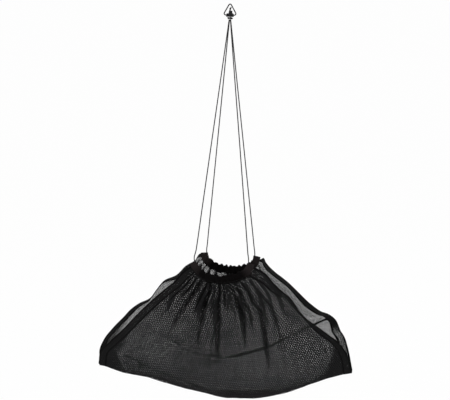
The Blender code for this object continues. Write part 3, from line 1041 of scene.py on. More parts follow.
@dataclass
class Hitch:
    """The cords' turns round the bar, their tails, and the stopper knot below."""

    bar: float
    halves: tuple[HitchHalf, ...] = HITCH_HALVES
    turns: int = 2
    space: float = 0.0007
    hang: float = 0.0005
    tail_inward: float = 0.6
    drop_shares: tuple[float, ...] = (0.33, 0.67, 1.0)
    end_below: float = 0.0044
    wound_cord: float = 0.0031
    knot_cord: float = 0.0029
    knot_across: float = 0.0165
    knot_rise: float = 0.00145
    knot_turn: float = math.pi / 6
    tail_steps: int = 24
    turn_steps: int = 40
    knot_steps: int = 240
    sides: int = 16

    @property
    def radius(self) -> float:
        """Centre line radius of the turns."""
        return WIRE / 2 + GAP + DRAWN_CORD / 2

    def wound(self, half: HitchHalf) -> np.ndarray:
        """Centre line of one half, from its tail through its turns to the end that hangs down."""
        pitch = DRAWN_CORD + self.space
        clear = self.radius + DRAWN_CORD
        height = half.tail * (1 - np.arange(self.tail_steps + 1) / self.tail_steps)
        over = smooth((height - clear) / (half.tail - clear))
        tail = np.stack((
            half.side * pitch / 2 + half.lean * over,
            half.side * self.radius * (1 - self.tail_inward * over),
            self.bar + height,
        ), axis=-1)
        turn = np.arange(1, self.turns * self.turn_steps + 1) / self.turn_steps
        angle = 2 * math.pi * turn
        reach = self.radius + np.where(np.sin(angle) > 0, self.hang, 0.0)
        turns = np.stack((
            half.side * (pitch / 2 + pitch * turn),
            half.side * self.radius * np.cos(angle),
            self.bar - reach * np.sin(angle),
        ), axis=-1)
        down = np.zeros((len(self.drop_shares), 3))
        down[:, 2] = (self.radius + DRAWN_CORD / 2) * np.array(self.drop_shares)
        return np.vstack((tail, turns, turns[-1] - down))

    def loose_end(self, half: HitchHalf) -> np.ndarray:
        """Centre line of a half's second cord end."""
        share = np.linspace(0.0, 1.0, self.tail_steps + 1)
        x = half.end_foot + (half.end_top - half.end_foot) * smooth(share)
        y = np.full_like(share, half.side * (self.radius + self.wound_cord + GAP))
        z = self.bar - self.end_below + (half.end_height + self.end_below) * share
        return np.stack((x, y, z), axis=-1)

    def knot(self) -> np.ndarray:
        """Centre line of the flat overhand knot, which reaches three times its lobe from its middle."""
        lobe = (self.knot_across - self.knot_cord) / 2 / 3
        top = self.bar - self.radius - self.hang - self.wound_cord / 2 - GAP
        turn = 2 * math.pi * np.arange(self.knot_steps) / self.knot_steps
        reach = lobe * (2 + np.cos(3 * turn))
        height = top - self.knot_cord / 2 - self.knot_rise + self.knot_rise * np.sin(3 * turn)
        around = 2 * turn + self.knot_turn
        return np.stack((reach * np.cos(around), reach * np.sin(around), height), axis=-1)

    def build(self, braid: bpy.types.Material) -> None:
        """Make both halves and the knot as braided cord."""
        radius = self.wound_cord / 2
        for half in self.halves:
            name = f"{half.word}_hitch_turns"
            mesh = tube_mesh(name, self.wound(half), radius, self.sides)
            spare = tube_mesh(name, self.loose_end(half), radius, self.sides)
            shape = bmesh.new()
            shape.from_mesh(mesh)
            shape.from_mesh(spare)
            shape.to_mesh(mesh)
            shape.free()
            bpy.data.meshes.remove(spare)
            self.place(name, f"hitch_{half.word}_turns", mesh, braid)
        knot = tube_mesh("overhand_knot", self.knot(), self.knot_cord / 2, self.sides, closed=True)
        self.place("overhand_knot", "stopper_knot", knot, braid)

    @staticmethod
    def place(name: str, node: str, mesh: bpy.types.Mesh, braid: bpy.types.Material) -> None:
        """Put one piece of the hitch on the sling in its CAD node's place."""
        mesh.materials.append(braid)
        item = new_object(name, mesh)
        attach(item, Body.SLING.value)
        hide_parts(node)
        LOG.info("%s: %d faces", name, len(mesh.polygons))


@dataclass
class DrawCord:
    """One draw cord, from the knot through its casing and back."""

    side: Side
    route: tuple
    step: float = 0.004
    sides: int = 14

    def build(self, braid: bpy.types.Material) -> None:
        path = Route(self.route)
        count = round(path.length / self.step)
        points = path.at(np.linspace(0.0, path.length, count + 1))
        name = f"{self.side.word}_cord"
        mesh = tube_mesh(name, points, CORD / 2, self.sides)
        mesh.materials.append(braid)
        item = new_object(name, mesh)
        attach(item, self.side.loop.value)
        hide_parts(f"{self.side.word}_draw_cord")
        LOG.info("%s: %.3f m", name, path.length)


# Stitches


@dataclass
class Stitcher:
    """Sews rows of stitches, set out along their lines by one Geometry Nodes tree."""

    thread: bpy.types.Material
    pitch: float = 0.0034
    length: float = 0.0026
    thick: float = 0.0005
    segments: int = 6
    rings: int = 5

    def __post_init__(self) -> None:
        """Draw the tree that all rows share."""
        self.tree = self.draw_tree()

    def draw_tree(self) -> bpy.types.NodeTree:
        """The tree: the line as a curve, points along it, a stitch at each, made real."""
        tree = bpy.data.node_groups.new("stitch_row", "GeometryNodeTree")
        sockets = tree.interface
        sockets.new_socket("Line", in_out="INPUT", socket_type="NodeSocketGeometry")
        for name in ("Pitch", "Length", "Thick"):
            sockets.new_socket(name, in_out="INPUT", socket_type="NodeSocketFloat")
        sockets.new_socket("Thread", in_out="INPUT", socket_type="NodeSocketMaterial")
        sockets.new_socket("Stitches", in_out="OUTPUT", socket_type="NodeSocketGeometry")
        graph = Graph(tree)
        given = graph.node("NodeGroupInput").outputs
        sphere = {"Segments": self.segments, "Rings": self.rings, "Radius": 0.5}
        stitch = graph.node("GeometryNodeMeshUVSphere", None, sphere)
        sizes = {0: given["Thick"], 1: given["Thick"], 2: given["Length"]}
        size = graph.node("ShaderNodeCombineXYZ", None, sizes)
        curve = graph.node("GeometryNodeMeshToCurve", None, {0: given["Line"]})
        spacing = {0: curve.outputs[0], "Length": given["Pitch"]}
        dots = graph.node("GeometryNodeCurveToPoints", {"mode": "LENGTH"}, spacing)
        inputs = {
            "Points": dots.outputs["Points"],
            "Instance": stitch.outputs["Mesh"],
            "Rotation": dots.outputs["Rotation"],
            "Scale": size.outputs[0],
        }
        copies = graph.node("GeometryNodeInstanceOnPoints", None, inputs)
        real = graph.node("GeometryNodeRealizeInstances", None, {0: copies.outputs[0]})
        coats = {0: real.outputs[0], "Material": given["Thread"]}
        dressed = graph.node("GeometryNodeSetMaterial", None, coats)
        graph.node("NodeGroupOutput", None, {0: dressed.outputs[0]})
        return tree

    def sew(self, name: str, line: np.ndarray) -> bpy.types.Object:
        """Make one row as a plain mesh.

        Args:
            name: The row's name.
            line: Points of its line, in metres.

        Returns:
            The row's object.
        """
        mesh = bpy.data.meshes.new(name)
        edges = [(index, index + 1) for index in range(len(line) - 1)]
        mesh.from_pydata(line.tolist(), edges, [])
        item = new_object(name, mesh)
        rows = item.modifiers.new("stitches", "NODES")
        rows.node_group = self.tree
        values = {"Pitch": self.pitch, "Length": self.length, "Thick": self.thick, "Thread": self.thread}
        for socket in self.tree.interface.items_tree:
            if socket.in_out == "INPUT" and socket.name in values:
                rows[socket.identifier] = values[socket.name]
        item = settle(item)
        LOG.info("%s: %d faces", name, len(item.data.polygons))
        return item


# Casings


@dataclass(frozen=True)
class Gathers:
    """The fine gathers of a casing, station by station along it."""

    phase: np.ndarray
    level: np.ndarray
    tall: np.ndarray
    hang: np.ndarray


@dataclass
class Casing:
    """A top hem: a gathered fabric tunnel round its cord, sewn shut under it."""

    side: Side
    route: tuple
    tilt: float = 0.12
    ruffles: int = 11
    ruffle_deep: float = 0.0014
    scrunch_count: int = 10
    scrunch_deep: float = 0.0017
    scrunch_tall: float = 0.0038
    scrunch_wander: float = 1.6
    wander_waves: tuple[float, float] = (0.03, 0.09)
    uneven_waves: tuple[float, float] = (0.02, 0.06)
    swell_room: float = 0.6
    rise_room: float = 0.5
    unevenness: float = 0.4
    peak_size: float = 1.5
    peak_round: float = 0.7
    peak_shift: float = 1.3
    crumple: float = 0.35
    crumple_waves: tuple[float, float] = (0.006, 0.012)
    hang_share: float = 0.8
    hang_rhythm: float = 0.71
    hang_shift: float = 0.4
    least_hang: float = 0.0009
    lip: float = 0.0055
    foot_half: float = 0.0012
    seam_place: float = 0.86
    seam_margin: int = 4
    stations: int = 520
    arc: int = 10
    flank: int = 9
    flank_lag: float = 0.6
    weld: float = 1e-6

    def __post_init__(self) -> None:
        """Find the casing's stretch of the cord, and the heights of its tunnel and of its cloth below."""
        self.path = Route(self.route)
        self.start = self.path.mark_distance(CASING_AFTER)
        self.end = self.path.mark_distance(len(self.route) - 1 - CASING_AFTER)
        self.radius = CORD / 2 + CASING_ROOM
        self.low = CASING_TALL - 2 * CASING_SKIN - self.radius * 2

    @property
    def length(self) -> float:
        """Length of the gathered casing."""
        return self.end - self.start

    def frame(self, share: np.ndarray) -> tuple[np.ndarray, np.ndarray, np.ndarray]:
        """Places on the cord, directions down the hem and directions outwards.

        Args:
            share: Shares of the casing's length.

        Returns:
            Three arrays of vectors.
        """
        distance = self.start + self.length * np.asarray(share, float)
        place = self.path.at(distance)
        along = self.path.heading(distance)
        sign = self.side.value
        outward = np.array((0.0, float(sign), 0.0))
        down = np.cross(along, outward) * sign
        down = np.where(down[..., 2:] > 0, -down, down)
        down = unit(down + np.array((0.0, -sign * self.tilt, 0.0)))
        outward = np.cross(along, down)
        outward = np.where(outward[..., 1:2] * sign < 0, -outward, outward)
        return place, down, unit(outward)

    @staticmethod
    def level(share: np.ndarray) -> np.ndarray:
        """How full the gathers are, from 0 at both ends to 1 in the middle."""
        return np.sqrt(np.sin(math.pi * np.clip(share, 0.0, 1.0)).clip(0.0))

    def ruffle(self, share: np.ndarray) -> np.ndarray:
        """Sideways place of the gathered hem, level at both ends."""
        share = np.asarray(share, float)
        return self.ruffle_deep * self.level(share) * np.sin(2 * math.pi * self.ruffles * share)

    def foot(self, share: np.ndarray) -> np.ndarray:
        """Middle of the hem's lower edge, where the sheet's panel hangs."""
        place, down, outward = self.frame(share)
        low = CASING_TALL - CASING_SKIN - (CORD + 2 * CASING_ROOM)
        return place + down * (low + 2 * GAP) + outward * self.ruffle(share)[..., None]

    def gathers(self, share: np.ndarray) -> Gathers:
        """The uneven gathers at shares of the casing's length."""
        distance = share * self.length
        seed = 5 + self.side.value
        flat = np.zeros(1)
        wander = self.scrunch_wander * ripples(distance, flat, self.wander_waves, seed)
        phase = 2 * math.pi * self.scrunch_count * share + wander
        level = self.level(share)
        uneven = 1 - self.unevenness + self.unevenness * ripples(distance, flat, self.uneven_waves, seed + 4)
        crumple = self.crumple * ripples(distance, flat, self.crumple_waves, seed + 9)
        peaks = np.abs(np.sin(phase / 2 + self.peak_shift)) ** self.peak_round
        spread = self.peak_size * peaks - self.peak_size / 2
        tall = self.scrunch_tall * level * (uneven * spread + crumple)
        sag = np.maximum(np.sin(phase * self.hang_rhythm + self.hang_shift), 0.0)
        hang = level * (self.scrunch_tall * self.hang_share * sag + self.least_hang)
        return Gathers(phase, level, tall, hang)

    def across_flank(self, part: float) -> float:
        """Half the width of the cloth below the tunnel, from 0 at the tunnel to 1 at the lower edge."""
        return self.radius * (1 - part) + self.foot_half * part

    def lines(self, share: np.ndarray) -> tuple[np.ndarray, np.ndarray]:
        """Lines along the casing: over its tunnel, down one flank and up the other.

        Args:
            share: Shares of the casing's length.

        Returns:
            The lines' points, and how far round the cloth each line lies, in metres.
        """
        place, down, outward = self.frame(share)
        shift = self.ruffle(share)
        gathers = self.gathers(share)
        deep = self.scrunch_deep * gathers.level
        rows = []
        lengths = []
        for index in range(self.arc + 1):
            angle = math.pi * index / self.arc
            swell = deep * np.sin(gathers.phase) * math.sin(angle)
            reach = self.radius + np.maximum(swell, -CASING_ROOM * self.swell_room)
            rise = np.maximum(gathers.tall, -CASING_ROOM * self.rise_room) * math.sin(angle)
            aside = outward * (reach * math.cos(angle))[:, None]
            rows.append(place + aside - down * (reach * math.sin(angle) + rise)[:, None])
            lengths.append(self.radius * angle)
        flank = np.linspace(0.0, 1.0, self.flank)[1:]
        for sign, parts in ((-1, flank), (1, flank[::-1])):
            for part in parts:
                wide = self.across_flank(part)
                fold = deep * np.sin(gathers.phase + self.flank_lag * sign) * math.sin(math.pi * part)
                aside = sign * (wide + np.maximum(fold, -wide * 0.5)) + shift * part
                drop = self.low * part + gathers.hang * part**3
                rows.append(place + outward * aside[:, None] + down * drop[:, None])
                lengths.append(math.pi * self.radius + self.low * part)
        return np.array(rows), np.array(lengths)

    def build(self, cloth: bpy.types.Material, stitcher: Stitcher) -> None:
        """Make the casing with its fine gathers, and the row of stitches that shuts it."""
        past = self.lip / self.length
        share = np.linspace(-past, 1.0 + past, self.stations)
        points, lengths = self.lines(share)
        uv = np.empty((*points.shape[:2], 2))
        uv[..., 0] = share * CLOTH_WIDE
        uv[..., 1] = lengths[:, None]
        name = f"{self.side.word}_gathered_casing"
        mesh = grid_mesh(name, np.concatenate((points, points[:1])), np.concatenate((uv, uv[:1])))
        shape = bmesh.new()
        shape.from_mesh(mesh)
        bmesh.ops.remove_doubles(shape, verts=shape.verts, dist=self.weld)
        bmesh.ops.recalc_face_normals(shape, faces=shape.faces)
        shape.to_mesh(mesh)
        shape.free()
        mesh.materials.append(cloth)
        item = add_wall(new_object(name, mesh), CASING_SKIN, offset=1.0)
        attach(item, self.side.loop.value)
        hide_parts(f"{self.side.word}_casing")
        stitches = stitcher.sew(f"{self.side.word}_casing_stitches", self.seam(share))
        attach(stitches, self.side.loop.value)
        LOG.info("%s: %d faces", name, len(item.data.polygons))

    def seam(self, share: np.ndarray) -> np.ndarray:
        """The line of stitches on the outer flank, just proud of its folds."""
        place, down, outward = self.frame(share)
        part = self.seam_place
        proud = self.across_flank(part) + CASING_SKIN + self.scrunch_deep * 0.8
        aside = outward * (proud + self.ruffle(share) * part)[:, None]
        line = place + aside + down * (self.low * part)
        return line[self.seam_margin : -self.seam_margin]


# Mesh sheet


@dataclass
class BottomFold:
    """The soft fold along the sheet's bottom, round in the middle and tight at the corners."""

    corner: float = 0.0055
    belly: float = 0.026
    fullness: float = 0.8

    def __post_init__(self) -> None:
        """Draw the lowest line."""
        self.path = Route(BOTTOM_FOLD)

    def point(self, share: np.ndarray, turn: np.ndarray | float) -> np.ndarray:
        """Points round the fold: turn 0 is its front edge, 1 its back edge."""
        share = np.clip(share, 0.0, 1.0)
        radius = self.corner + (self.belly - self.corner) * np.sin(math.pi * share) ** self.fullness
        angle = math.pi * np.asarray(turn)
        low = self.path.share(share)
        zero = np.zeros(np.broadcast(radius, angle).shape)
        return low + np.stack((zero, -radius * np.cos(angle), radius * (1 - np.sin(angle))), axis=-1)


@dataclass(frozen=True)
class Pinch:
    """A gather fold, where the cloth doubles into or out of its panel.

    Its top and foot are shares of the width, and its reach a share of the height.
    """

    top: float
    foot: float
    reach: float
    weight: float = 1.0
    steep: float = 86.0
    sign: int = -1


FRONT_PINCHES = (
    Pinch(0.04, 0.06, 0.42, 0.6),
    Pinch(0.10, 0.13, 0.34, 0.6),
    Pinch(0.17, 0.21, 0.72, 1.0, 80),
    Pinch(0.25, 0.32, 0.40, 0.9),
    Pinch(0.32, 0.385, 0.66, 1.5),
    Pinch(0.39, 0.42, 0.42, 0.8, sign=1),
    Pinch(0.46, 0.475, 0.86, 1.2),
    Pinch(0.53, 0.52, 0.30, 0.7),
    Pinch(0.60, 0.56, 0.44, 0.9, sign=1),
    Pinch(0.67, 0.595, 0.66, 1.5),
    Pinch(0.74, 0.635, 0.52, 1.0),
    Pinch(0.84, 0.66, 1.00, 1.1),
    Pinch(0.94, 0.73, 0.80, 0.5),
)
BACK_PINCHES = (
    Pinch(0.03, 0.14, 0.30, 0.8),
    Pinch(0.07, 0.19, 0.66, 1.2),
    Pinch(0.12, 0.25, 0.40, 0.9),
    Pinch(0.19, 0.30, 0.40, 0.9, sign=1),
    Pinch(0.28, 0.36, 0.62, 1.2),
    Pinch(0.40, 0.44, 0.74, 1.2),
    Pinch(0.50, 0.50, 0.44, 0.9),
    Pinch(0.60, 0.57, 0.66, 1.2),
    Pinch(0.70, 0.62, 0.42, 0.9, sign=1),
    Pinch(0.79, 0.67, 0.60, 1.1),
    Pinch(0.87, 0.72, 0.46, 1.0),
    Pinch(0.95, 0.76, 0.56, 1.1),
)


@dataclass(frozen=True)
class Fade:
    """A value that rises past a start, over a stretch, up to a strength."""

    start: float
    over: float
    strength: float = 1.0

    def at(self, value: np.ndarray) -> np.ndarray:
        """The value at places."""
        return self.strength * smooth((value - self.start) / self.over)

    def under(self, value: np.ndarray) -> np.ndarray:
        """The same, rising as the places fall under the start."""
        return self.strength * smooth((self.start - value) / self.over)


@dataclass(frozen=True)
class Layers:
    """Where the sheet's holes close and painted shade darkens it, in shares of its width and height, or in
    metres from its side edges.
    """

    left_corner: Fade = Fade(0.125, 0.03, 0.6)
    left_lean: float = 0.20
    right_corner: Fade = Fade(0.165, 0.03, 0.6)
    right_lean: float = 0.42
    corner_in_hem: float = 0.35
    low: Fade = Fade(0.80, 0.10, 0.15)
    lowest: Fade = Fade(0.95, 0.03, 0.2)
    gathers: Fade = Fade(0.0, 0.03)
    centre: Fade = Fade(0.35, 0.25, 0.10)
    centre_wide: Fade = Fade(0.2, 0.12)
    centre_place: float = 0.42
    belly: Fade = Fade(0.915, 0.02, 0.55)
    belly_left: Fade = Fade(0.44, 0.04)
    belly_right: Fade = Fade(0.72, 0.04)
    neck_tall: float = 0.02
    edge: Fade = Fade(0.007, 0.003, 0.9)
    seam: Fade = Fade(0.0036, 0.002)
    open_until: float = 0.3


@dataclass
class HalfSheet:
    """One half of the sheet: a panel from its casing to the middle of the bottom fold, with its side hems.

    Rolls are stops of the hems' angle to the panel, in degrees, and layers are stops of how doubled they
    lie, both at shares of the height.
    """

    side: Side
    casing: Casing
    fold: BottomFold
    left_edge: tuple
    right_edge: tuple
    left_roll: tuple
    right_roll: tuple
    left_layers: tuple
    right_layers: tuple
    pinches: tuple[Pinch, ...]
    seed: int
    # Doubled places and painted shade of the sheet
    layers: Layers = Layers()
    sheet: float = 0.0004
    hem_thick: float = 0.0012
    columns: int = 400
    hem_columns: int = 12
    rows: int = 104
    fold_rows: int = 18
    fold_reach: float = 0.12
    start_share: float = 0.025
    leave_share: float = 0.16
    arrive_share: float = 0.12
    most_pinch: float = 0.048
    pinch_hold: float = 0.35
    pinch_ease: float = 0.42
    sharp: float = 0.25
    # Painted shade: how far the gathers' folds and the neck under the casing close and darken the cloth
    bunch: float = 0.45
    neck: float = 0.6
    gathered: float = 0.80
    gathered_low: float = 0.34
    gathered_until: float = 0.75
    airy: float = 0.0
    airy_reach: float = 0.14
    wrinkle: float = 0.0010
    wrinkle_waves: tuple[float, float] = (0.018, 0.07)
    wrinkle_stretch: float = 0.7
    sway: float = 0.0035
    sway_waves: tuple[float, float] = (0.06, 0.2)
    sway_stretch: float = 0.3
    calm: Fade = Fade(0.85, 0.15, 0.7)
    wave_margin: float = 0.08
    wave_from: float = 0.2
    neck_room: float = 0.008
    belly_room: float = 0.030
    room_from: float = 0.3
    join_depth: float = 0.06
    join_top: float = -0.765
    join_foot: float = -0.96

    def __post_init__(self) -> None:
        """Draw the side edges, and set out the places across the cloth."""
        self.turn = 0.0 if self.side is Side.FRONT else 1.0
        ends = np.array((0.0, 1.0))
        self.feet = self.casing.foot(ends)
        self.corners = self.fold.point(ends, self.turn)
        self.left = Route((tuple(self.feet[0]), *self.left_edge, tuple(self.corners[0])))
        self.right = Route((tuple(self.feet[1]), *self.right_edge, tuple(self.corners[1])))
        self.inner = CLOTH_WIDE - 2 * HEM_WIDE
        self.tall = HALF_TALL - CASING_TALL
        self.first = self.hem_columns
        self.last = self.hem_columns + self.columns
        hem = np.linspace(0.0, HEM_WIDE, self.hem_columns + 1)
        between = HEM_WIDE + self.inner * np.arange(1, self.columns) / self.columns
        self.cloth = np.concatenate((hem, between, CLOTH_WIDE - hem[::-1]))

    def flat(self, across: np.ndarray, down: np.ndarray) -> np.ndarray:
        """Points of the panel without its folds, from its four edges.

        Args:
            across: Shares of the width, one row for each height.
            down: Shares of the height.

        Returns:
            Points, in rows and columns.
        """
        top = self.casing.foot(across)
        bottom = self.fold.point(across, self.turn)
        left = self.left.share(down)[:, None]
        right = self.right.share(down)[:, None]
        part = across[..., None]
        height = down[:, None, None]
        edges = top * (1 - height) + bottom * height + left * (1 - part) + right * part
        corner_top = self.feet[0] * (1 - part) + self.feet[1] * part
        corner_bottom = self.corners[0] * (1 - part) + self.corners[1] * part
        place = edges - corner_top * (1 - height) - corner_bottom * height
        reach = np.linalg.norm(bottom - top, axis=-1, keepdims=True) * height
        drop = top + self.casing.frame(across)[1] * reach
        start = 1 - smooth(height / self.leave_share)
        place = place * (1 - start) + drop * start
        arrive = smooth((height[..., 0] - 1 + self.arrive_share) / self.arrive_share)
        place[..., 1] += (bottom[..., 1] - place[..., 1]) * arrive
        return place

    def fold_angles(self, spot: np.ndarray, down: np.ndarray, wide: np.ndarray) -> np.ndarray:
        """Angle of the cloth to its panel, so that the pinches take up each row's spare width.

        Args:
            spot: Places across the cloth between the hems, in metres.
            down: Shares of the height.
            wide: The panel's width between the hems at each height.

        Returns:
            Angles in radians, in rows and columns.
        """
        arcs = 48
        least = 1e-6
        top, foot, reach, weight, steep, sign = (
            np.array([getattr(pinch, name) for pinch in self.pinches], float)
            for name in ("top", "foot", "reach", "weight", "steep", "sign")
        )
        height = down[:, None]
        wide = wide[:, None]
        live = weight * (1 - smooth((height - self.pinch_hold * reach) / ((1 - self.pinch_hold) * reach)))
        tilt = np.radians(steep) * (1 - self.pinch_ease * smooth(height / reach))
        around = np.sin(math.pi * (np.arange(arcs) + 0.5) / arcs) ** self.sharp
        narrow = np.cos(tilt[..., None] * around).mean(axis=-1)
        take = self.gathered - (self.gathered - self.gathered_low) * smooth(height / self.gathered_until)
        spare = np.clip(self.inner - wide, 0.0, None) * take
        demand = np.maximum((live * (1 - narrow)).sum(axis=1, keepdims=True), least)
        size = live * np.minimum(spare / demand, self.most_pinch)
        taken = narrow * size
        total = self.inner - size.sum(axis=1, keepdims=True)
        squeeze = wide / (total + taken.sum(axis=1, keepdims=True))
        share = top + (foot - top) * height
        left = share * wide / squeeze - taken / 2 - (np.cumsum(taken, axis=1) - taken)
        left = np.clip(np.maximum.accumulate(left, axis=1), 0.0, total)
        middle = self.evened(left + np.cumsum(size, axis=1) - size / 2)
        angle = np.zeros((len(down), len(spot)))
        for index in range(len(self.pinches)):
            half = np.maximum(size[:, index : index + 1] / 2, least)
            away = (spot[None] - middle[:, index : index + 1]) / half
            bend = np.sin(math.pi * np.clip(np.abs(away), 0.0, 1.0)).clip(0.0) ** self.sharp
            angle -= sign[index] * np.sign(away) * bend * tilt[:, index : index + 1]
        return angle

    @staticmethod
    def evened(rows: np.ndarray, reach: int = 9) -> np.ndarray:
        """Rows of values with sudden steps from row to row spread out."""
        padded = np.pad(rows, ((reach, reach), (0, 0)), mode="edge")
        weight = np.hanning(2 * reach + 3)[1:-1]
        weight /= weight.sum()
        return np.stack([np.convolve(column, weight, mode="valid") for column in padded.T], axis=1)

    @staticmethod
    def stops(pairs: tuple, down: np.ndarray) -> np.ndarray:
        """Values between stops, at shares of the height."""
        places, values = np.array(pairs, float).T
        return np.interp(down, places, values)

    def bends(self, height: np.ndarray) -> tuple[np.ndarray, np.ndarray]:
        """How the cloth turns and how far it runs on, stretch by stretch across each row.

        Args:
            height: Shares of the height.

        Returns:
            Angles to the panel in radians, and widths in metres that fill each row from edge to edge.
        """
        between = slice(self.first, self.last)
        samples = 60
        even = np.repeat(np.linspace(0.0, 1.0, samples)[None], len(height), axis=0)
        wide = np.linalg.norm(np.diff(self.flat(even, height), axis=1), axis=-1).sum(axis=1)
        left = np.radians(self.stops(self.left_roll, height))
        right = np.radians(self.stops(self.right_roll, height))
        clear = wide - HEM_WIDE * (np.cos(left) + np.cos(right))
        step = np.diff(self.cloth)
        angle = np.zeros((len(height), len(step)))
        angle[:, : self.first] = -left[:, None]
        angle[:, self.last :] = right[:, None]
        spot = (self.cloth[1:] + self.cloth[:-1])[between] / 2 - HEM_WIDE
        angle[:, between] = self.fold_angles(spot, height, clear)
        forward = np.cos(angle) * step
        forward[:, between] *= (clear / forward[:, between].sum(axis=1))[:, None]
        return angle, forward

    def waves(self, height: np.ndarray, along: np.ndarray, part: np.ndarray) -> np.ndarray:
        """The soft waves and small wrinkles of the panel, which fade at its edges."""
        inside = smooth(part / self.wave_margin) * smooth((1 - part) / self.wave_margin)
        rise = smooth(height / self.wave_from)[:, None] * inside
        settled = 1 - self.calm.at(height)[:, None]
        across = self.cloth[None]
        down = along[:, None]
        drape = ripples(across, down * self.sway_stretch, self.sway_waves, self.seed)
        small = ripples(across, down * self.wrinkle_stretch, self.wrinkle_waves, self.seed + 7)
        return (self.sway * drape + self.wrinkle * small) * rise * settled

    def depth(self, angle: np.ndarray, height: np.ndarray, along: np.ndarray) -> np.ndarray:
        """How far the cloth stands out of its panel, with a soft limit inwards.

        Args:
            angle: The cloth's angles to the panel, stretch by stretch.
            height: Shares of the height.
            along: Distances down the cloth, in metres.

        Returns:
            Depths in metres, in rows and columns.
        """
        zero = np.zeros((len(height), 1))
        proud = np.concatenate((zero, np.cumsum(np.sin(angle) * np.diff(self.cloth), axis=1)), axis=1)
        part = np.clip((self.cloth - HEM_WIDE) / self.inner, 0.0, 1.0)
        left = proud[:, self.first : self.first + 1]
        right = proud[:, self.last : self.last + 1]
        proud -= left * (1 - part) + right * part
        proud *= smooth(height / self.start_share)[:, None]
        proud += self.waves(height, along, part)
        growth = smooth(height / self.room_from)
        room = (self.neck_room + (self.belly_room - self.neck_room) * growth)[:, None]
        return np.where(proud < 0, -room * np.tanh(-proud / room), proud)

    def surface(self) -> tuple[np.ndarray, np.ndarray, np.ndarray, np.ndarray]:
        """The half sheet's points, their cloth coordinates, outward directions and how folded they are."""
        down = np.linspace(0.0, 1.0, self.rows + 1)
        turn = np.linspace(0.0, 0.5, self.fold_rows + 1)[1:]
        height = np.concatenate((down, np.ones(self.fold_rows)))
        beyond = self.fold_reach * np.arange(1, self.fold_rows + 1) / self.fold_rows
        along = np.concatenate((down, 1.0 + beyond)) * self.tall / (1 + self.fold_reach)
        angle, forward = self.bends(height)
        across = np.concatenate((np.zeros((len(height), 1)), np.cumsum(forward, axis=1)), axis=1)
        across = across / across[:, -1:]
        points = self.flat(across, height)
        for index, share in enumerate(turn):
            row = self.rows + 1 + index
            around = share if self.side is Side.FRONT else 1.0 - share
            points[row] = self.fold.point(across[row], around)
        bend = np.concatenate((np.zeros(self.rows + 1), turn * math.pi))
        out = np.zeros((len(height), 1, 3))
        out[:, 0, 1] = self.side.value * np.cos(bend)
        out[:, 0, 2] = -np.sin(bend)
        points = points + out * self.depth(angle, height, along)[..., None]
        uv = np.empty((*points.shape[:2], 2))
        uv[..., 0] = self.cloth
        uv[..., 1] = -along[:, None]
        normal = np.cross(np.gradient(points, axis=1), np.gradient(points, axis=0))
        normal = unit(normal) * np.sign((normal * out).sum(axis=-1, keepdims=True) + 1e-12)
        between = slice(self.first, self.last)
        bunched = np.zeros(points.shape[:2])
        bunched[:, between] = np.abs(np.sin(angle[:, between]))
        return points, uv, normal, bunched

    def closed_and_shaded_places(self, uv: np.ndarray, bunched: np.ndarray) -> np.ndarray:
        """How far the cloth's holes close and painted shade darkens it, from 0 to 1, and below 0 where its
        holes are drawn open.

        Args:
            uv: The points' cloth coordinates.
            bunched: How folded the cloth is at each point.

        Returns:
            One value for each point.
        """
        layers = self.layers
        across = uv[..., 0] / CLOTH_WIDE
        down = -uv[..., 1] / self.tall
        aside = np.minimum(uv[..., 0], CLOTH_WIDE - uv[..., 0])
        in_hem = aside < HEM_WIDE
        left = layers.left_corner.under(across + (1 - down) * layers.left_lean)
        right = layers.right_corner.under(1 - across + (1 - down) * layers.right_lean)
        corners = np.maximum(left, right) * np.where(in_hem, layers.corner_in_hem, 1.0)
        centre = layers.centre.at(down) * layers.centre_wide.under(np.abs(across - layers.centre_place))
        belly = layers.belly.at(down) * layers.belly_left.at(across) * layers.belly_right.under(across)
        sides = (self.stops(pairs, down) for pairs in (self.left_layers, self.right_layers))
        hems = np.where(across < 0.5, *sides)
        # Doubled corners, hems, rolled edges and seams close the holes; the bottom fold's belly, the
        # gathers' folds and the neck under the casing are painted shade, and the middle and lowest rows are
        # darker
        thick = np.maximum.reduce((
            corners,
            centre,
            belly,
            hems * in_hem,
            layers.low.at(down) + layers.lowest.at(down),
            layers.edge.under(aside),
            layers.seam.under(np.abs(aside - HEM_WIDE)),
            self.bunch * bunched * layers.gathers.at(down),
            self.neck * (1 - smooth(down / layers.neck_tall)),
        ))
        bare = (aside > HEM_WIDE) * (1 - smooth(thick / layers.open_until))
        return np.clip(thick, 0.0, 1.0) - self.airy * (1 - smooth(down / self.airy_reach)) * bare

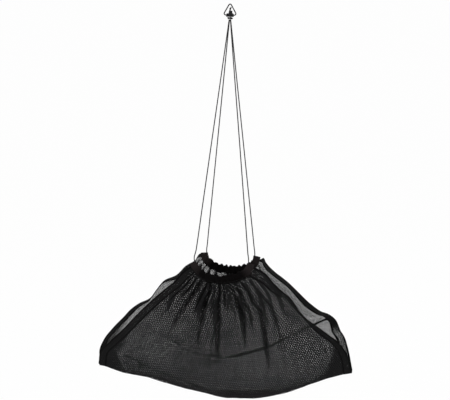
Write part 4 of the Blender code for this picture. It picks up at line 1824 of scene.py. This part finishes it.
    def build(
        self,
        mesh_cloth: bpy.types.Material,
        hem_cloth: bpy.types.Material,
        stitcher: Stitcher,
    ) -> None:
        """Make the panel and both hems, and the hems' stitches."""
        points, uv, normal, bunched = self.surface()
        closed_and_shaded = self.closed_and_shaded_places(uv, bunched)
        word = self.side.word
        reach = (slice(None), slice(self.first, self.last + 1))
        name = f"{word}_mesh_panel"
        panel = self.piece(name, points[reach], uv[reach], closed_and_shaded[reach], self.sheet, mesh_cloth)
        nodes = [f"{word}_panel_upper", f"{word}_panel_lower"]
        if self.side is Side.FRONT:
            nodes.append("bottom_fold")
        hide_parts(*nodes)
        carried = []
        left = ("left", slice(0, self.first + 1), self.first - 2)
        right = ("right", slice(self.last, None), self.last + 2)
        for edge, columns, seam in (left, right):
            reach = (slice(None), columns)
            name = f"{word}_{edge}_side_hem"
            hem = self.piece(name, points[reach], uv[reach], closed_and_shaded[reach], self.hem_thick, hem_cloth)
            nodes = [f"{word}_{edge}_hem_upper", f"{word}_{edge}_hem_lower"]
            if self.side is Side.FRONT:
                nodes.append(f"{edge}_corner_hem")
            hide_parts(*nodes)
            line = points[:, seam] + normal[:, seam] * (self.hem_thick / 2 + STITCH_LIFT)
            stitches = stitcher.sew(f"{word}_{edge}_hem_stitches", line)
            self.join(stitches)
            carried += [hem, stitches]

    def join(self, item: bpy.types.Object) -> None:
        """Bake a piece's placement into its mesh."""
        y = self.side.value * self.join_depth
        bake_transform(item)

    def piece(
        self,
        name: str,
        points: np.ndarray,
        uv: np.ndarray,
        closed_and_shaded: np.ndarray,
        thick: float,
        cloth: bpy.types.Material,
    ) -> bpy.types.Object:
        """One stretch of cloth with its real thickness.

        Args:
            name: The piece's name.
            points: Its rows and columns of points.
            uv: Their cloth coordinates.
            closed_and_shaded: How closed the cloth is at each, and how far painted shade darkens it.
            thick: The cloth's thickness.
            cloth: Its material, which reads "dense" and, for hanging rows, "hung".

        Returns:
            The piece's object.
        """
        mesh = grid_mesh(name, points, uv)
        for layer, kind, field, values in (
            ("closed_and_shaded", "FLOAT", "value", closed_and_shaded),
            ("hung", "FLOAT_VECTOR", "vector", points),
        ):
            data = mesh.attributes.new(layer, kind, "POINT").data
            data.foreach_set(field, values.astype(np.float32).ravel())
        mesh.materials.append(cloth)
        item = add_wall(new_object(name, mesh), thick)
        self.join(item)
        LOG.info("%s: %d faces", name, len(item.data.polygons))
        return item


def front_half(casing: Casing, fold: BottomFold) -> HalfSheet:
    """The front half: its left hem lies nearly flat, and its right hem turns in."""
    return HalfSheet(
        Side.FRONT, casing, fold, FRONT_LEFT_EDGE, FRONT_RIGHT_EDGE,
        left_roll=((0.0, 25), (0.2, 10), (0.8, 8), (1.0, 0)),
        right_roll=((0.0, 20), (0.22, 24), (0.3, 48), (0.5, 62), (0.62, 30), (0.85, 24), (1.0, 5)),
        left_layers=((0.0, 0.15), (0.3, 0.32), (0.8, 0.4), (0.93, 0.25)),
        right_layers=((0.0, 0.1), (0.25, 0.2), (0.35, 0.5), (0.8, 0.4), (0.93, 0.2)),
        pinches=FRONT_PINCHES,
        seed=21,
        bunch=0.55,
        airy=0.35,
        airy_reach=0.45,
    )


def back_half(casing: Casing, fold: BottomFold) -> HalfSheet:
    """The back half: both hems are rolled, and the right one is let out above its corner."""
    return HalfSheet(
        Side.BACK, casing, fold, BACK_LEFT_EDGE, BACK_RIGHT_EDGE,
        left_roll=(
            (0.0, 80), (0.1, 84), (0.22, 68), (0.3, 84), (0.45, 84),
            (0.52, 74), (0.62, 54), (0.85, 60), (1.0, 10),
        ),
        right_roll=((0.0, 80), (0.3, 82), (0.45, 66), (0.6, 74), (0.68, 50), (0.74, 8), (0.88, 0), (1.0, 5)),
        left_layers=((0.0, 0.8), (1.0, 0.8)),
        right_layers=((0.0, 0.8), (0.6, 0.85), (0.68, 0.1), (0.85, 0.1), (0.95, 0.7)),
        pinches=BACK_PINCHES,
        seed=34,
        bunch=0.6,
        neck=0.0,
        gathered=0.55,
        airy=0.6,
        leave_share=0.07,
        start_share=0.008,
    )


def main() -> None:
    """Dress the sling."""
    logging.basicConfig(level=logging.INFO, format="%(message)s")
    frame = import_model()
    Studio().build()
    braid = BRAID.material()
    hem_cloth = HEM.material()
    casing_cloth = CASING.material()
    stitcher = Stitcher(THREAD.material())
    ring = Ring()
    ring.build(frame["nodes"])
    Hitch(ring.bar_height()).build(braid)
    fold = BottomFold()
    halves = (
        (Side.FRONT, FRONT_CORD, front_half, FRONT_MESH),
        (Side.BACK, BACK_CORD, back_half, BACK_MESH),
    )
    for side, route, make_half, mesh in halves:
        DrawCord(side, route).build(braid)
        casing = Casing(side, route)
        casing.build(casing_cloth, stitcher)
        make_half(casing, fold).build(mesh.material(), hem_cloth, stitcher)
    bpy.context.scene.view_settings.view_transform = "Standard"


if __name__ == "__main__":
    main()
